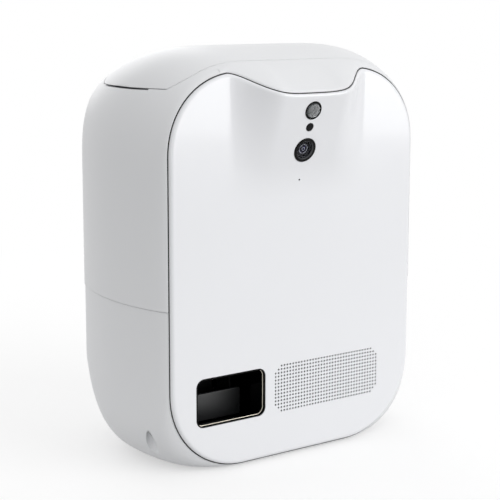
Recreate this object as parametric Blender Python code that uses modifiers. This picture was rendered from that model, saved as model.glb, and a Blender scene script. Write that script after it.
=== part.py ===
"""Treat tossing pet camera.

An upright housing in two mouldings round a gloss front panel. The panel leans forward at the top
to carry a camera and its sensors under a brow. A lid lifts off a treat bin, whose funnel feeds a
geared portioning wheel. The wheel drops treats down a duct into the mouth, where a plate on a
solenoid plunger throws them out.

Every piece is drawn in one frame: X to the right seen from the front, Y back from the plane of
the front panel and Z up from the underside of the housing.
"""

import math

import bmesh
import bpy
from mathutils import Matrix, Vector

# Clearances, walls and cutters
GAP = 0.0003
RUNNING_GAP = 0.0001
WALL = 0.0025
SEAM_GAP = 0.0006
OVERRUN = 0.001
FAR = 0.3

# Housing envelope
CROWN_HEIGHT = 0.2867
HALF_WIDTH = 0.117
BACK = 0.130
RIM = 0.003
SIDE_BOW_RADIUS = 0.150
SIDE_BOW_CENTRE = 0.062
CROWN_RADIUS = 0.113636
CROWN_CENTRE = 0.055
BACK_FILLET = 0.020
FOOT_PROUD = 0.001

# Corners of the housing's cross-section, and how they change towards the rim and the back
TOP_CORNER = 0.085
TOP_POWER = 2.9
BOTTOM_CORNER = 0.0375
BOTTOM_POWER = 2.0
RIM_TOP_CORNER_DROP = 0.030
RIM_TOP_POWER_DROP = 0.8
RIM_BOTTOM_CORNER_RISE = 0.021
BACK_TOP_CORNER_DROP = 0.012
BACK_BOTTOM_CORNER_RISE = 0.014
CORNER_FADE = 0.007
BACK_CORNER_START = 0.060
BACK_TOP_CORNER_REACH = 0.041
BACK_BOTTOM_CORNER_REACH = 0.035
RIM_ROUND = 0.003
RIM_SIDE_DROP = 0.0012
RIM_TOP_DROP = 0.003
RIM_BOTTOM_RISE = 0.0005

# Where the crown and the side of the housing meet the rim
RIM_CROWN = CROWN_HEIGHT - (CROWN_CENTRE - RIM) ** 2 / (2 * CROWN_RADIUS) - RIM_TOP_DROP
RIM_BOW = SIDE_BOW_RADIUS - math.sqrt(SIDE_BOW_RADIUS**2 - (SIDE_BOW_CENTRE - RIM) ** 2)
RIM_HALF_WIDTH = HALF_WIDTH - RIM_BOW - RIM_SIDE_DROP

# Seam between the two mouldings
SEAM_HEIGHT = 0.1154
SEAM_STEP = 0.0006

# Front panel, inside the rim
RIM_SIDE_FACE = 0.0015
RIM_TOP_FACE = 0.0012
PANEL_HALF_WIDTH = RIM_HALF_WIDTH - RIM_SIDE_FACE
PANEL_TOP = RIM_CROWN - RIM_TOP_FACE
PANEL_BOTTOM = 0.0016
PANEL_TOP_CORNER = 0.054
PANEL_TOP_POWER = 2.1
PANEL_BOTTOM_CORNER = 0.057
PANEL_SKIN = 0.0025
PANEL_DEPTH = 0.0072
LOBE_INSET = 0.0449
LOBE_X = PANEL_HALF_WIDTH - LOBE_INSET
SMILE_DEPTH = 0.0145
SMILE_LOW = PANEL_TOP - SMILE_DEPTH
BULGE_SLOPE = 0.335
BULGE_REACH = 0.07485
BULGE_START = PANEL_TOP - BULGE_REACH
BULGE_BLEND = 0.012
BULGE_FLAT_X = 0.024
BULGE_PAST_LOBE = 0.0007
BULGE_END_X = LOBE_X + BULGE_PAST_LOBE

# Frame behind the panel, inside the mouldings
POCKET_DEPTH = 0.0075
FRAME_DEPTH = 0.0097
FRAME_INSET = 0.007

# Brow over the camera
BROW_PAST_LOBE = 0.0047
BROW_END_X = LOBE_X + BROW_PAST_LOBE
BROW_PLATE = 0.0026
BROW_NOSE_ROUND = 0.002

# Lid and its opening
LID_SIDE_INSET = 0.0118
LID_HALF_WIDTH = HALF_WIDTH - LID_SIDE_INSET
LID_FRONT = 0.010
LID_BACK_INSET = 0.024
LID_BACK = BACK - LID_BACK_INSET
LID_CORNER = 0.030
LID_DEPTH = 0.0267
LID_EDGE_HEIGHT = CROWN_HEIGHT - LID_DEPTH
LID_GAP = 0.00035

# Treat opening and grille on the panel
MOUTH_INSET = 0.0335
MOUTH_WIDTH = 0.0565
MOUTH_LEFT = MOUTH_INSET - HALF_WIDTH
MOUTH_RIGHT = MOUTH_LEFT + MOUTH_WIDTH
MOUTH_LOW = 0.0328
MOUTH_HEIGHT = 0.0341
MOUTH_HIGH = MOUTH_LOW + MOUTH_HEIGHT
MOUTH_CORNER = 0.006
SPEAKER_FROM_MOUTH = 0.05365
SPEAKER_X = MOUTH_RIGHT + SPEAKER_FROM_MOUTH
SPEAKER_Z = 0.0497

# Camera line: the lens, and the other sensors by their distance up the slope from it
LENS_BELOW_TOP = 0.0538
LENS_HEIGHT = PANEL_TOP - LENS_BELOW_TOP
LENS_RING_RADIUS = 0.00865
INFRARED_RADIUS = 0.00285
INFRARED_UP = 0.01687
MOTION_RADIUS = 0.00635
MOTION_UP = 0.0291
MICROPHONE_UP = -0.0219
MICROPHONE_HOLE_RADIUS = 0.0005

# Feed wheel, its housing and its gears
FEED_FROM_MOUTH = 0.0285
FEED_X = MOUTH_LEFT + FEED_FROM_MOUTH
FEED_HEIGHT = 0.128
FEED_BORE = 0.024
FEED_TIP_GAP = 0.001
FEED_VANE = FEED_BORE - FEED_TIP_GAP
FEED_FRONT = 0.020
FEED_DEPTH = 0.044
FEED_WALL = 0.002
FEED_CHEEK = 0.003
FEED_SIDE = FEED_BORE + FEED_CHEEK
FEED_RISE = 0.0237
FEED_TOP = FEED_HEIGHT + FEED_RISE
FEED_DROP = 0.028
FEED_BOTTOM = FEED_HEIGHT - FEED_DROP
FEED_OPENING_SIDE = 0.0165
SHAFT_RADIUS = 0.0025
GEAR_MODULE = 0.001
WHEEL_TEETH = 40
PINION_TEETH = 12
BACKLASH = 0.0003
PINION_X = FEED_X + GEAR_MODULE * (WHEEL_TEETH + PINION_TEETH) / 2 + BACKLASH
GEAR_ROOM = 0.006
GEAR_FRONT = FEED_FRONT + FEED_DEPTH + GEAR_ROOM
GEAR_WIDTH = 0.006
PLATE_ROOM = 0.001
PLATE_FRONT = GEAR_FRONT + GEAR_WIDTH + PLATE_ROOM
PLATE_DEPTH = 0.002

# Treat bin
HOPPER_BELOW_LID = 0.0127
HOPPER_TOP = LID_EDGE_HEIGHT - HOPPER_BELOW_LID
HOPPER_FLANGE = 0.0023

# Mouth and kicker, on a bracket above the floor
MOUTH_SILL = 0.0055
LINER_FLOOR = MOUTH_LOW - MOUTH_SILL
KICKER_FROM_MOUTH = 0.028
KICKER_X = MOUTH_LEFT + KICKER_FROM_MOUTH
KICKER_RISE = 0.0107
KICKER_HEIGHT = LINER_FLOOR + KICKER_RISE
BRACKET_BOTTOM = 0.014
BRACKET_SHEET = 0.003
BRACKET_TOP = BRACKET_BOTTOM + BRACKET_SHEET

# Back face
SOCKET_X = 0.036
SOCKET_HEIGHT = 0.0315
BUTTON_X = 0.014
BUTTON_TRAVEL = 0.0008

# Facets
ROUND_SIDES = 24
SMALL_SIDES = 10
TOP_CORNER_STEPS = 8
BOTTOM_CORNER_STEPS = 6

# Stations along the housing's depth, from the rim to the start of the back fillet
OUTER_SHARES = (0.0, 0.033, 0.075, 0.14, 0.25, 0.4, 0.55, 0.7, 0.86)
INNER_SHARES = (0.0, 0.1, 0.35, 0.7)

UP = Vector((0, 0, 1))


def clear_scene():
    """Empties the file's scene and makes the two collections."""
    for thing in list(bpy.data.objects):
        bpy.data.objects.remove(thing)
    made = []
    for name in ("treat_tossing_pet_camera", "cutters"):
        group = bpy.data.collections.new(name)
        bpy.context.scene.collection.children.link(group)
        made.append(group)
    return made


PARTS, CUTTERS = clear_scene()


def finish(name, colour, roughness, metallic=0.0):
    """A Principled BSDF material."""
    made = bpy.data.materials.new(name)
    made.use_nodes = True
    shader = made.node_tree.nodes["Principled BSDF"]
    shader.inputs["Base Color"].default_value = (*colour, 1)
    shader.inputs["Roughness"].default_value = roughness
    shader.inputs["Metallic"].default_value = metallic
    return made


GLOSS_WHITE = finish("gloss white plastic", (0.87, 0.88, 0.9), 0.12)
SATIN_WHITE = finish("satin white plastic", (0.78, 0.78, 0.79), 0.3)
GLOSS_BLACK = finish("gloss black plastic", (0.01, 0.01, 0.012), 0.12)
DARK_GREY = finish("dark grey plastic", (0.06, 0.06, 0.065), 0.4)
FROSTED = finish("frosted sensor lens", (0.6, 0.62, 0.64), 0.25)
SILICONE = finish("grey silicone", (0.35, 0.35, 0.36), 0.6)
RUBBER = finish("dark rubber", (0.03, 0.03, 0.03), 0.7)
NATURAL = finish("natural nylon", (0.7, 0.68, 0.6), 0.35)
STEEL = finish("bright steel", (0.6, 0.6, 0.62), 0.25, 1.0)
COPPER = finish("enamelled copper wire", (0.55, 0.2, 0.07), 0.35, 1.0)
BOARD_GREEN = finish("green circuit board", (0.02, 0.16, 0.06), 0.4)
LENS_GLASS = finish("coated lens glass", (0.02, 0.02, 0.05), 0.05)


def datum(name, location, tilt=0.0, parent=None):
    """An empty that other objects are placed from, tilted about X."""
    made = bpy.data.objects.new(name, None)
    made.location = location
    made.rotation_euler = (tilt, 0, 0)
    made.parent = parent
    PARTS.objects.link(made)
    return made


def sag(radius, distance):
    """How far an arc of this radius falls away from its top."""
    return radius - math.sqrt(radius * radius - distance * distance)


def smooth_step(share):
    """An S curve from 0 to 1."""
    share = min(max(share, 0.0), 1.0)
    return share * share * (3 - 2 * share)


def panel_bulge(x, z):
    """How far the panel leans forward at a point of its outline plane."""
    above = z - BULGE_START
    if above < -BULGE_BLEND:
        return 0.0
    if above < BULGE_BLEND:
        above = (above + BULGE_BLEND) ** 2 / (4 * BULGE_BLEND)
    across = (abs(x) - BULGE_FLAT_X) / (BULGE_END_X - BULGE_FLAT_X)
    return BULGE_SLOPE * above * (1 - smooth_step(across))


LENS_TILT = math.atan(BULGE_SLOPE)
BODY = datum("body_datum", (0, 0, FOOT_PROUD))
SENSOR_LINE = datum("sensor_line", (0, -panel_bulge(0, LENS_HEIGHT), LENS_HEIGHT), LENS_TILT, BODY)


def mesh_object(name, mesh, material=None, location=(0, 0, 0), parent=BODY):
    """An object of the camera, or a hidden cutter where it has no material."""
    made = bpy.data.objects.new(name, mesh)
    made.location = location
    made.parent = parent
    if material is None:
        made.hide_render = True
        made.display_type = "WIRE"
        CUTTERS.objects.link(made)
    else:
        mesh.materials.append(material)
        PARTS.objects.link(made)
    return made


def finished_mesh(name, bm):
    """A mesh from a bmesh, its faces pointing out and its round sides shaded smooth."""
    bmesh.ops.recalc_face_normals(bm, faces=bm.faces)
    if bm.calc_volume(signed=True) < 0:
        bmesh.ops.reverse_faces(bm, faces=bm.faces)
    mesh = bpy.data.meshes.new(name)
    bm.to_mesh(mesh)
    bm.free()
    mesh.shade_smooth()
    mesh.set_sharp_from_angle(angle=math.radians(35))
    return mesh


def box(name, x, y, z, material=None, parent=BODY):
    """A box between two values on each axis, with its origin at its middle."""
    spans = (x, y, z)
    middle = [(low + high) / 2 for low, high in spans]
    sizes = [high - low for low, high in spans]
    bm = bmesh.new()
    bmesh.ops.create_cube(bm, size=1, matrix=Matrix.Diagonal((*sizes, 1)))
    return mesh_object(name, finished_mesh(name, bm), material, middle, parent)


def along(axis):
    """The turn that takes Z to another axis."""
    return {
        "X": Matrix.Rotation(math.pi / 2, 4, "Y"),
        "Y": Matrix.Rotation(-math.pi / 2, 4, "X"),
        "Z": Matrix.Identity(4),
    }[axis]


def rod(name, radius, axis, start, length, material=None, parent=BODY, sides=ROUND_SIDES):
    """A cylinder that starts at a point and runs along an axis, with its origin at the start."""
    bm = bmesh.new()
    bmesh.ops.create_cone(
        bm,
        cap_ends=True,
        segments=sides,
        radius1=radius,
        radius2=radius,
        depth=length,
        matrix=along(axis) @ Matrix.Translation(UP * length / 2),
    )
    return mesh_object(name, finished_mesh(name, bm), material, start, parent)


def welded_copy(thing):
    """The evaluated shape of a curve or a modified mesh, as a welded mesh of its own."""
    graph = bpy.context.evaluated_depsgraph_get()
    mesh = bpy.data.meshes.new_from_object(thing.evaluated_get(graph))
    bm = bmesh.new()
    bm.from_mesh(mesh)
    bpy.data.meshes.remove(mesh)
    bmesh.ops.remove_doubles(bm, verts=bm.verts, dist=1e-6)
    bpy.data.objects.remove(thing)
    return bm


def turned(name, profile, axis, location, material=None, parent=BODY, sides=ROUND_SIDES):
    """A profile of (radius, distance along the axis), run from the far end down, turned full circle.

    A profile that starts or ends off the axis is a ring, and is closed on itself."""
    line = bpy.data.meshes.new(name + "_profile")
    count = len(profile)
    links = [(i, i + 1) for i in range(count - 1)]
    if profile[0][0] > 0 or profile[-1][0] > 0:
        links.append((count - 1, 0))
    line.from_pydata([(radius, 0, height) for radius, height in profile], links, [])
    drawn = bpy.data.objects.new(name + "_profile", line)
    CUTTERS.objects.link(drawn)
    screw = drawn.modifiers.new("turn", "SCREW")
    screw.axis = "Z"
    screw.angle = 2 * math.pi
    screw.steps = sides
    screw.render_steps = sides
    screw.use_merge_vertices = True
    screw.merge_threshold = 1e-6
    bm = welded_copy(drawn)
    bmesh.ops.transform(bm, matrix=along(axis), verts=bm.verts)
    return mesh_object(name, finished_mesh(name, bm), material, location, parent)


def prism(name, outline, axis, start, end, material=None, location=(0, 0, 0), parent=BODY):
    """A filled outline with a thickness from start to end along Y or Z.

    The outline's points are (x, z) along Y and (x, y) along Z."""
    curve = bpy.data.curves.new(name + "_outline", "CURVE")
    curve.dimensions = "2D"
    curve.fill_mode = "BOTH"
    curve.extrude = (end - start) / 2
    spline = curve.splines.new("POLY")
    spline.points.add(len(outline) - 1)
    for point, (u, v) in zip(spline.points, outline):
        point.co = (u, v, 0, 1)
    spline.use_cyclic_u = True
    drawn = bpy.data.objects.new(name + "_outline", curve)
    CUTTERS.objects.link(drawn)
    bm = welded_copy(drawn)
    if axis == "Y":
        turn = Matrix.Rotation(math.pi / 2, 4, "X")
        shift = Vector((0, (start + end) / 2, 0))
    else:
        turn = Matrix.Identity(4)
        shift = Vector((0, 0, (start + end) / 2))
    bmesh.ops.transform(bm, matrix=Matrix.Translation(shift) @ turn, verts=bm.verts)
    return mesh_object(name, finished_mesh(name, bm), material, location, parent)


def loft_bmesh(rings, closed=False):
    """Faces between rings of equal count: a solid with two end faces, or a tube closed on itself."""
    bm = bmesh.new()
    loops = [[bm.verts.new(point) for point in ring] for ring in rings]
    pairs = list(zip(loops, loops[1:]))
    if closed:
        pairs.append((loops[-1], loops[0]))
    count = len(rings[0])
    for near, far in pairs:
        for i in range(count):
            j = (i + 1) % count
            bm.faces.new((near[i], near[j], far[j], far[i]))
    if not closed:
        bm.faces.new(loops[0])
        bm.faces.new(loops[-1])
    return bm


def loft(name, rings, material=None, closed=False, location=(0, 0, 0), parent=BODY):
    """An object lofted through unlike sections."""
    mesh = finished_mesh(name, loft_bmesh(rings, closed))
    return mesh_object(name, mesh, material, location, parent)


def combine(target, tool, operation):
    """An exact Boolean modifier. The tool joins the hidden cutters."""
    step = target.modifiers.new(operation.lower() + "_" + tool.name, "BOOLEAN")
    step.operation = operation
    step.solver = "EXACT"
    step.object = tool


def cut(target, *tools):
    """Takes each tool away from the target."""
    for tool in tools:
        combine(target, tool, "DIFFERENCE")


def join(target, *tools):
    """Adds each tool to the target."""
    for tool in tools:
        combine(target, tool, "UNION")


def keep_inside(target, tool):
    """Keeps what the target and the tool share."""
    combine(target, tool, "INTERSECT")


def rounded_rectangle(x, y, radius, steps=5):
    """The outline of a rectangle between two values on each axis, with round corners."""
    points = []
    corners = (
        (x[1] - radius, y[0] + radius, -90),
        (x[1] - radius, y[1] - radius, 0),
        (x[0] + radius, y[1] - radius, 90),
        (x[0] + radius, y[0] + radius, 180),
    )
    for centre_x, centre_y, first in corners:
        for step in range(steps + 1):
            angle = math.radians(first + 90 * step / steps)
            points.append((centre_x + radius * math.cos(angle), centre_y + radius * math.sin(angle)))
    return points


def flat_ring(outline, z):
    """An outline lifted to a height."""
    return [(x, y, z) for x, y in outline]


def corner_point(radius, power, share):
    """A point of a superelliptic corner, from 0 at its flat end to 1 at its upright end."""
    angle = share * math.pi / 2
    out = radius * math.sin(angle) ** (2 / power)
    rise = radius * (1 - math.cos(angle) ** (2 / power))
    return out, rise


def housing_section(y, side=0.0, top=0.0, bottom=0.0, back=0.0):
    """The housing's cross-section at a depth, drawn in by a wall at its side, top and bottom."""
    near_rim = math.exp(-(y - RIM) / RIM_ROUND)
    near_front = math.exp(-(y - RIM) / CORNER_FADE)
    behind = max(0.0, min(y, BACK - BACK_FILLET) - BACK_CORNER_START)
    behind_top = (behind / BACK_TOP_CORNER_REACH) ** 2
    behind_bottom = (behind / BACK_BOTTOM_CORNER_REACH) ** 2
    half_width = housing_side(y) - RIM_SIDE_DROP * near_rim
    high = CROWN_HEIGHT - (y - CROWN_CENTRE) ** 2 / (2 * CROWN_RADIUS) - RIM_TOP_DROP * near_rim
    low = RIM_BOTTOM_RISE * near_rim
    high_corner = TOP_CORNER - RIM_TOP_CORNER_DROP * near_front - BACK_TOP_CORNER_DROP * behind_top
    low_corner = (
        BOTTOM_CORNER
        + RIM_BOTTOM_CORNER_RISE * near_front
        + BACK_BOTTOM_CORNER_RISE * behind_bottom
    )
    high_power = TOP_POWER - RIM_TOP_POWER_DROP * near_front
    half_width -= side + back
    high -= top + back
    low += bottom + back
    high_corner -= (side + top) / 2 + back
    low_corner -= (side + bottom) / 2 + back
    right = []
    for step in range(BOTTOM_CORNER_STEPS + 1):
        out, rise = corner_point(low_corner, BOTTOM_POWER, step / BOTTOM_CORNER_STEPS)
        right.append((half_width - low_corner + out, low + rise))
    for step in range(TOP_CORNER_STEPS, -1, -1):
        out, rise = corner_point(high_corner, high_power, step / TOP_CORNER_STEPS)
        right.append((half_width - high_corner + out, high - rise))
    return right


def housing_side(y):
    """How far out the housing's side lies at a depth."""
    return HALF_WIDTH - sag(SIDE_BOW_RADIUS, y - SIDE_BOW_CENTRE)


def mirrored_ring(right_half, y):
    """A closed ring at a depth from the points of its right half, bottom to top."""
    left_half = [(-x, z) for x, z in reversed(right_half)]
    return [(x, y, z) for x, z in right_half + left_half]


def housing_rings(first, side=0.0, top=0.0, bottom=0.0, shares=OUTER_SHARES, fillet_steps=4):
    """Rings along the housing from a depth to its flat back, with the fillet round the back."""
    fillet_start = BACK - BACK_FILLET
    rings = []
    for share in shares:
        y = first + share * (fillet_start - first)
        rings.append(mirrored_ring(housing_section(y, side, top, bottom), y))
    fillet = BACK_FILLET - side
    for step in range(fillet_steps + 1):
        angle = math.pi / 2 * step / fillet_steps
        y = fillet_start + fillet * math.sin(angle)
        drawn_in = fillet * (1 - math.cos(angle))
        section = housing_section(y, side, top, bottom, drawn_in)
        rings.append(mirrored_ring(section, y))
    return rings


def housing_solid(name, wall):
    """The whole housing as a solid, drawn in by a wall."""
    return loft(name, housing_rings(RIM, wall, wall, wall))


def plain_panel_outline(grow=0.0):
    """The right half of the panel's outline without the smile, bottom to top."""
    half_width = PANEL_HALF_WIDTH + grow
    low = PANEL_BOTTOM - grow
    high = PANEL_TOP + grow
    low_corner = PANEL_BOTTOM_CORNER + grow
    high_corner = PANEL_TOP_CORNER + grow
    right = []
    for step in range(BOTTOM_CORNER_STEPS + 1):
        out, rise = corner_point(low_corner, BOTTOM_POWER, step / BOTTOM_CORNER_STEPS)
        right.append((half_width - low_corner + out, low + rise))
    for step in range(TOP_CORNER_STEPS, -1, -1):
        out, rise = corner_point(high_corner, PANEL_TOP_POWER, step / TOP_CORNER_STEPS)
        right.append((half_width - high_corner + out, high - rise))
    return right


def housing_shell(name, side_step, material):
    """The two mouldings as one shell: outer skin, pocket for the panel, frame and inner skin."""
    outer = housing_rings(RIM, side_step, 0.0, 0.0)
    pocket = plain_panel_outline(SEAM_GAP)
    frame = plain_panel_outline(-FRAME_INSET)
    wall = side_step + WALL
    inner = housing_rings(FRAME_DEPTH, wall, WALL, WALL, INNER_SHARES, 3)
    rings = list(reversed(outer))
    rings.append(mirrored_ring(pocket, RIM))
    rings.append(mirrored_ring(pocket, POCKET_DEPTH))
    rings.append(mirrored_ring(frame, POCKET_DEPTH))
    rings.append(mirrored_ring(frame, FRAME_DEPTH))
    rings.extend(inner)
    return loft(name, rings, material)


def smile_height(x):
    """The top edge of the panel between its two lobes."""
    lobe_top = lobe_point()[1]
    share = (1 - math.cos(math.pi * (x / LOBE_X) ** 2)) / 2
    return SMILE_LOW + (lobe_top - SMILE_LOW) * share


def lobe_share():
    """How far up its top corner the panel's outline reaches before the smile begins."""
    reach = (LOBE_X - PANEL_HALF_WIDTH + PANEL_TOP_CORNER) / PANEL_TOP_CORNER
    return math.asin(reach ** (PANEL_TOP_POWER / 2)) / (math.pi / 2)


def lobe_point():
    """The top of the panel's right lobe."""
    out, rise = corner_point(PANEL_TOP_CORNER, PANEL_TOP_POWER, lobe_share())
    return PANEL_HALF_WIDTH - PANEL_TOP_CORNER + out, PANEL_TOP - rise


def panel_outline():
    """The panel's whole outline, with the smile between its lobes."""
    right = []
    for step in range(BOTTOM_CORNER_STEPS + 1):
        out, rise = corner_point(PANEL_BOTTOM_CORNER, BOTTOM_POWER, step / BOTTOM_CORNER_STEPS)
        right.append((PANEL_HALF_WIDTH - PANEL_BOTTOM_CORNER + out, PANEL_BOTTOM + rise))
    last = lobe_share()
    for step in range(TOP_CORNER_STEPS + 1):
        share = 1 + (last - 1) * step / TOP_CORNER_STEPS
        out, rise = corner_point(PANEL_TOP_CORNER, PANEL_TOP_POWER, share)
        right.append((PANEL_HALF_WIDTH - PANEL_TOP_CORNER + out, PANEL_TOP - rise))
    smile_steps = 7
    for step in range(1, smile_steps):
        x = LOBE_X * (1 - step / smile_steps)
        right.append((x, smile_height(x)))
    left = [(-x, z) for x, z in reversed(right)]
    return right + [(0.0, SMILE_LOW)] + left


def offset_outline(outline, inward):
    """An outline moved inward, each point along the bisector of its two edges."""
    moved = []
    count = len(outline)
    for i, (x, z) in enumerate(outline):
        here = Vector((x, z))
        before = (here - Vector(outline[i - 1])).normalized()
        after = (Vector(outline[(i + 1) % count]) - here).normalized()
        normal = Vector((-before.y - after.y, before.x + after.x)).normalized()
        spread = max(0.5, normal.dot(Vector((-before.y, before.x))))
        moved.append(tuple(here + normal * inward / spread))
    return moved


def upper_and_lower_housing():
    """The two rear mouldings, split at the seam, with the brow and the lid opening on the upper."""
    upper = housing_shell("upper_housing", 0.0, GLOSS_WHITE)
    above = box("above_seam", (-FAR, FAR), (-FAR, FAR), (SEAM_HEIGHT + GAP / 2, FAR))
    keep_inside(upper, above)
    plate = brow()
    outline = offset_outline(panel_outline(), -SEAM_GAP * 2 / 3)
    cut(plate, prism("smile_room", outline, "Y", -FAR, POCKET_DEPTH))
    join(upper, plate)
    cut(upper, prism("lid_opening", lid_outline(0), "Z", LID_EDGE_HEIGHT, FAR))

    lower = housing_shell("lower_housing", SEAM_STEP, GLOSS_WHITE)
    below = box("below_seam", (-FAR, FAR), (-FAR, FAR), (-FAR, SEAM_HEIGHT - GAP / 2))
    keep_inside(lower, below)
    return upper, lower


def lid_outline(inset):
    """The lid's plan, drawn in by a gap."""
    across = (-LID_HALF_WIDTH + inset, LID_HALF_WIDTH - inset)
    return rounded_rectangle(across, (LID_FRONT + inset, LID_BACK - inset), LID_CORNER - inset, 8)


def brow():
    """The hollow brow over the camera: a sloped roof plate from the panel's top edge to the crown."""
    stations = 12
    sunk = 0.0012
    proud = 0.00025
    sink_before_lobe = 0.0073
    sink_start = LOBE_X - sink_before_lobe
    under_edge = 0.003
    under_lid = 0.002
    arch_rise = 0.0006
    rings = []
    for step in range(stations + 1):
        x = BROW_END_X * (2 * step / stations - 1)
        reach = abs(x)
        edge = smile_height(x) if reach < LOBE_X else panel_edge_beyond_lobe(reach)
        nose_y = RIM - panel_bulge(x, edge)
        sink = proud - (proud + sunk) * smooth_step((reach - sink_start) / (BROW_END_X - sink_start))
        end_y = LID_FRONT + under_lid
        end_z = housing_height(reach, end_y) + sink
        start = Vector((nose_y, edge + SEAM_GAP))
        roof_start = start + Vector((BROW_NOSE_ROUND * 0.45, BROW_NOSE_ROUND))
        roof_end = Vector((end_y, end_z))
        slope = (roof_end - roof_start).normalized()
        down = Vector((slope.y, -slope.x)) * BROW_PLATE
        arch = Vector((-slope.y, slope.x)) * arch_rise
        section = [
            start - Vector((0, under_edge)),
            start,
            start + Vector((BROW_NOSE_ROUND * 0.1, BROW_NOSE_ROUND * 0.55)),
            roof_start,
            roof_start.lerp(roof_end, 0.33) + arch,
            roof_start.lerp(roof_end, 0.7) + arch,
            roof_end,
            roof_end + down,
            roof_start.lerp(roof_end, 0.33) + down,
            start + Vector((BROW_PLATE, -under_edge)),
        ]
        rings.append([(x, point.x, point.y) for point in section])
    return loft("brow_plate", rings)


def panel_edge_beyond_lobe(reach):
    """The height of the panel's plain outline at a distance beyond its lobe."""
    share = (reach - PANEL_HALF_WIDTH + PANEL_TOP_CORNER) / PANEL_TOP_CORNER
    fall = 1 - (1 - share**PANEL_TOP_POWER) ** (1 / PANEL_TOP_POWER)
    return PANEL_TOP - PANEL_TOP_CORNER * fall


def housing_height(x, y):
    """The height of the housing's crown at a point of its plan."""
    section = housing_section(y)[BOTTOM_CORNER_STEPS + 1 :]
    for (x_out, z_low), (x_in, z_high) in zip(section, section[1:]):
        if x_in <= x <= x_out:
            return z_low + (z_high - z_low) * (x_out - x) / (x_out - x_in)
    return section[-1][1]


def front_panel():
    """The gloss panel: a tray with a rounded edge, leaning forward round the camera."""
    edge_round = 0.003
    edge_wall = 0.0022
    inside_round = 0.001
    outline = panel_outline()
    edge = (
        (edge_round, 0.0),
        (edge_round * 0.5, edge_round * 0.15),
        (edge_round * 0.167, edge_round * 0.467),
        (0.0, edge_round),
        (0.0, PANEL_DEPTH),
        (edge_wall, PANEL_DEPTH),
        (edge_wall, PANEL_SKIN + inside_round * 1.5),
        (edge_wall + inside_round, PANEL_SKIN),
    )
    rings = [[(x, y, z) for x, z in offset_outline(outline, inset)] for inset, y in edge]
    bm = loft_bmesh(rings)
    bend_start = BULGE_START - BULGE_BLEND
    bmesh.ops.bisect_plane(
        bm,
        geom=bm.verts[:] + bm.edges[:] + bm.faces[:],
        plane_co=(0, 0, bend_start),
        plane_no=UP,
    )
    rows = 7
    columns = 5
    for step in range(1, rows):
        level = bend_start + (PANEL_TOP - bend_start) * step / rows
        slice_above(bm, bend_start, (0, 0, level), UP)
    for step in range(columns + 1):
        x = BULGE_FLAT_X + (BULGE_END_X - BULGE_FLAT_X) * step / columns
        slice_above(bm, bend_start, (x, 0, 0), Vector((1, 0, 0)))
        slice_above(bm, bend_start, (-x, 0, 0), Vector((1, 0, 0)))
    for vertex in bm.verts:
        vertex.co.y -= panel_bulge(vertex.co.x, vertex.co.z)
    return mesh_object("front_panel", finished_mesh("front_panel", bm), GLOSS_WHITE)


def slice_above(bm, height, point, normal):
    """Cuts the faces above a height along a plane."""
    faces = [face for face in bm.faces if face.calc_center_median().z > height]
    edges = {edge for face in faces for edge in face.edges}
    verts = {vertex for face in faces for vertex in face.verts}
    geometry = list(verts) + list(edges) + faces
    bmesh.ops.bisect_plane(bm, geom=geometry, plane_co=point, plane_no=normal)


def ring_wall(name, outline, inner_outline, low, high, material=None):
    """An upright wall between two outlines of equal count."""
    rings = (
        flat_ring(outline, low),
        flat_ring(outline, high),
        flat_ring(inner_outline, high),
        flat_ring(inner_outline, low),
    )
    return loft(name, rings, material, closed=True)


def carry(name, location, *pieces):
    """An empty on a joint's axis that its moving pieces hang from."""
    axis = datum(name, location, parent=BODY)
    for piece in pieces:
        piece.parent = axis
        piece.location = Vector(piece.location) - Vector(location)
    return axis


def lid_and_seal(core):
    """The lift-off lid, cut from the housing's own skin, with a skirt and the seal under it."""
    skirt_side_inset = 0.0212
    skirt_end_inset = 0.014
    skirt_x = LID_HALF_WIDTH - skirt_side_inset
    skirt_y = (LID_FRONT + skirt_end_inset, LID_BACK - skirt_end_inset)
    skirt_corner = 0.012
    skirt_wall = 0.002
    skirt_drop = 0.010
    skirt_bottom = LID_EDGE_HEIGHT - skirt_drop
    seal_out = 0.002
    seal_in = 0.004
    seal_depth = 0.0021

    lid = loft("lid", housing_rings(RIM), GLOSS_WHITE)
    plan = prism("lid_plan", lid_outline(LID_GAP), "Z", LID_EDGE_HEIGHT + LID_GAP, FAR)
    keep_inside(lid, plan)
    cut(lid, housing_solid("housing_inside", WALL))
    outside = rounded_rectangle((-skirt_x, skirt_x), skirt_y, skirt_corner)
    inside = rounded_rectangle(
        (skirt_wall - skirt_x, skirt_x - skirt_wall),
        (skirt_y[0] + skirt_wall, skirt_y[1] - skirt_wall),
        skirt_corner - skirt_wall,
    )
    skirt = ring_wall("lid_skirt", outside, inside, skirt_bottom, CROWN_HEIGHT)
    keep_inside(skirt, core)
    join(lid, skirt)

    seal_outside = rounded_rectangle(
        (-skirt_x - seal_out, skirt_x + seal_out),
        (skirt_y[0] - seal_out, skirt_y[1] + seal_out),
        skirt_corner + seal_out,
    )
    seal_inside = rounded_rectangle(
        (seal_in - skirt_x - seal_out, skirt_x + seal_out - seal_in),
        (skirt_y[0] - seal_out + seal_in, skirt_y[1] + seal_out - seal_in),
        skirt_corner + seal_out - seal_in,
    )
    seal_top = skirt_bottom - GAP
    seal = ring_wall("lid_seal", seal_outside, seal_inside, seal_top - seal_depth, seal_top, SILICONE)
    carry("lid_lift", (0, (LID_FRONT + LID_BACK) / 2, LID_EDGE_HEIGHT), lid, seal)


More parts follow.
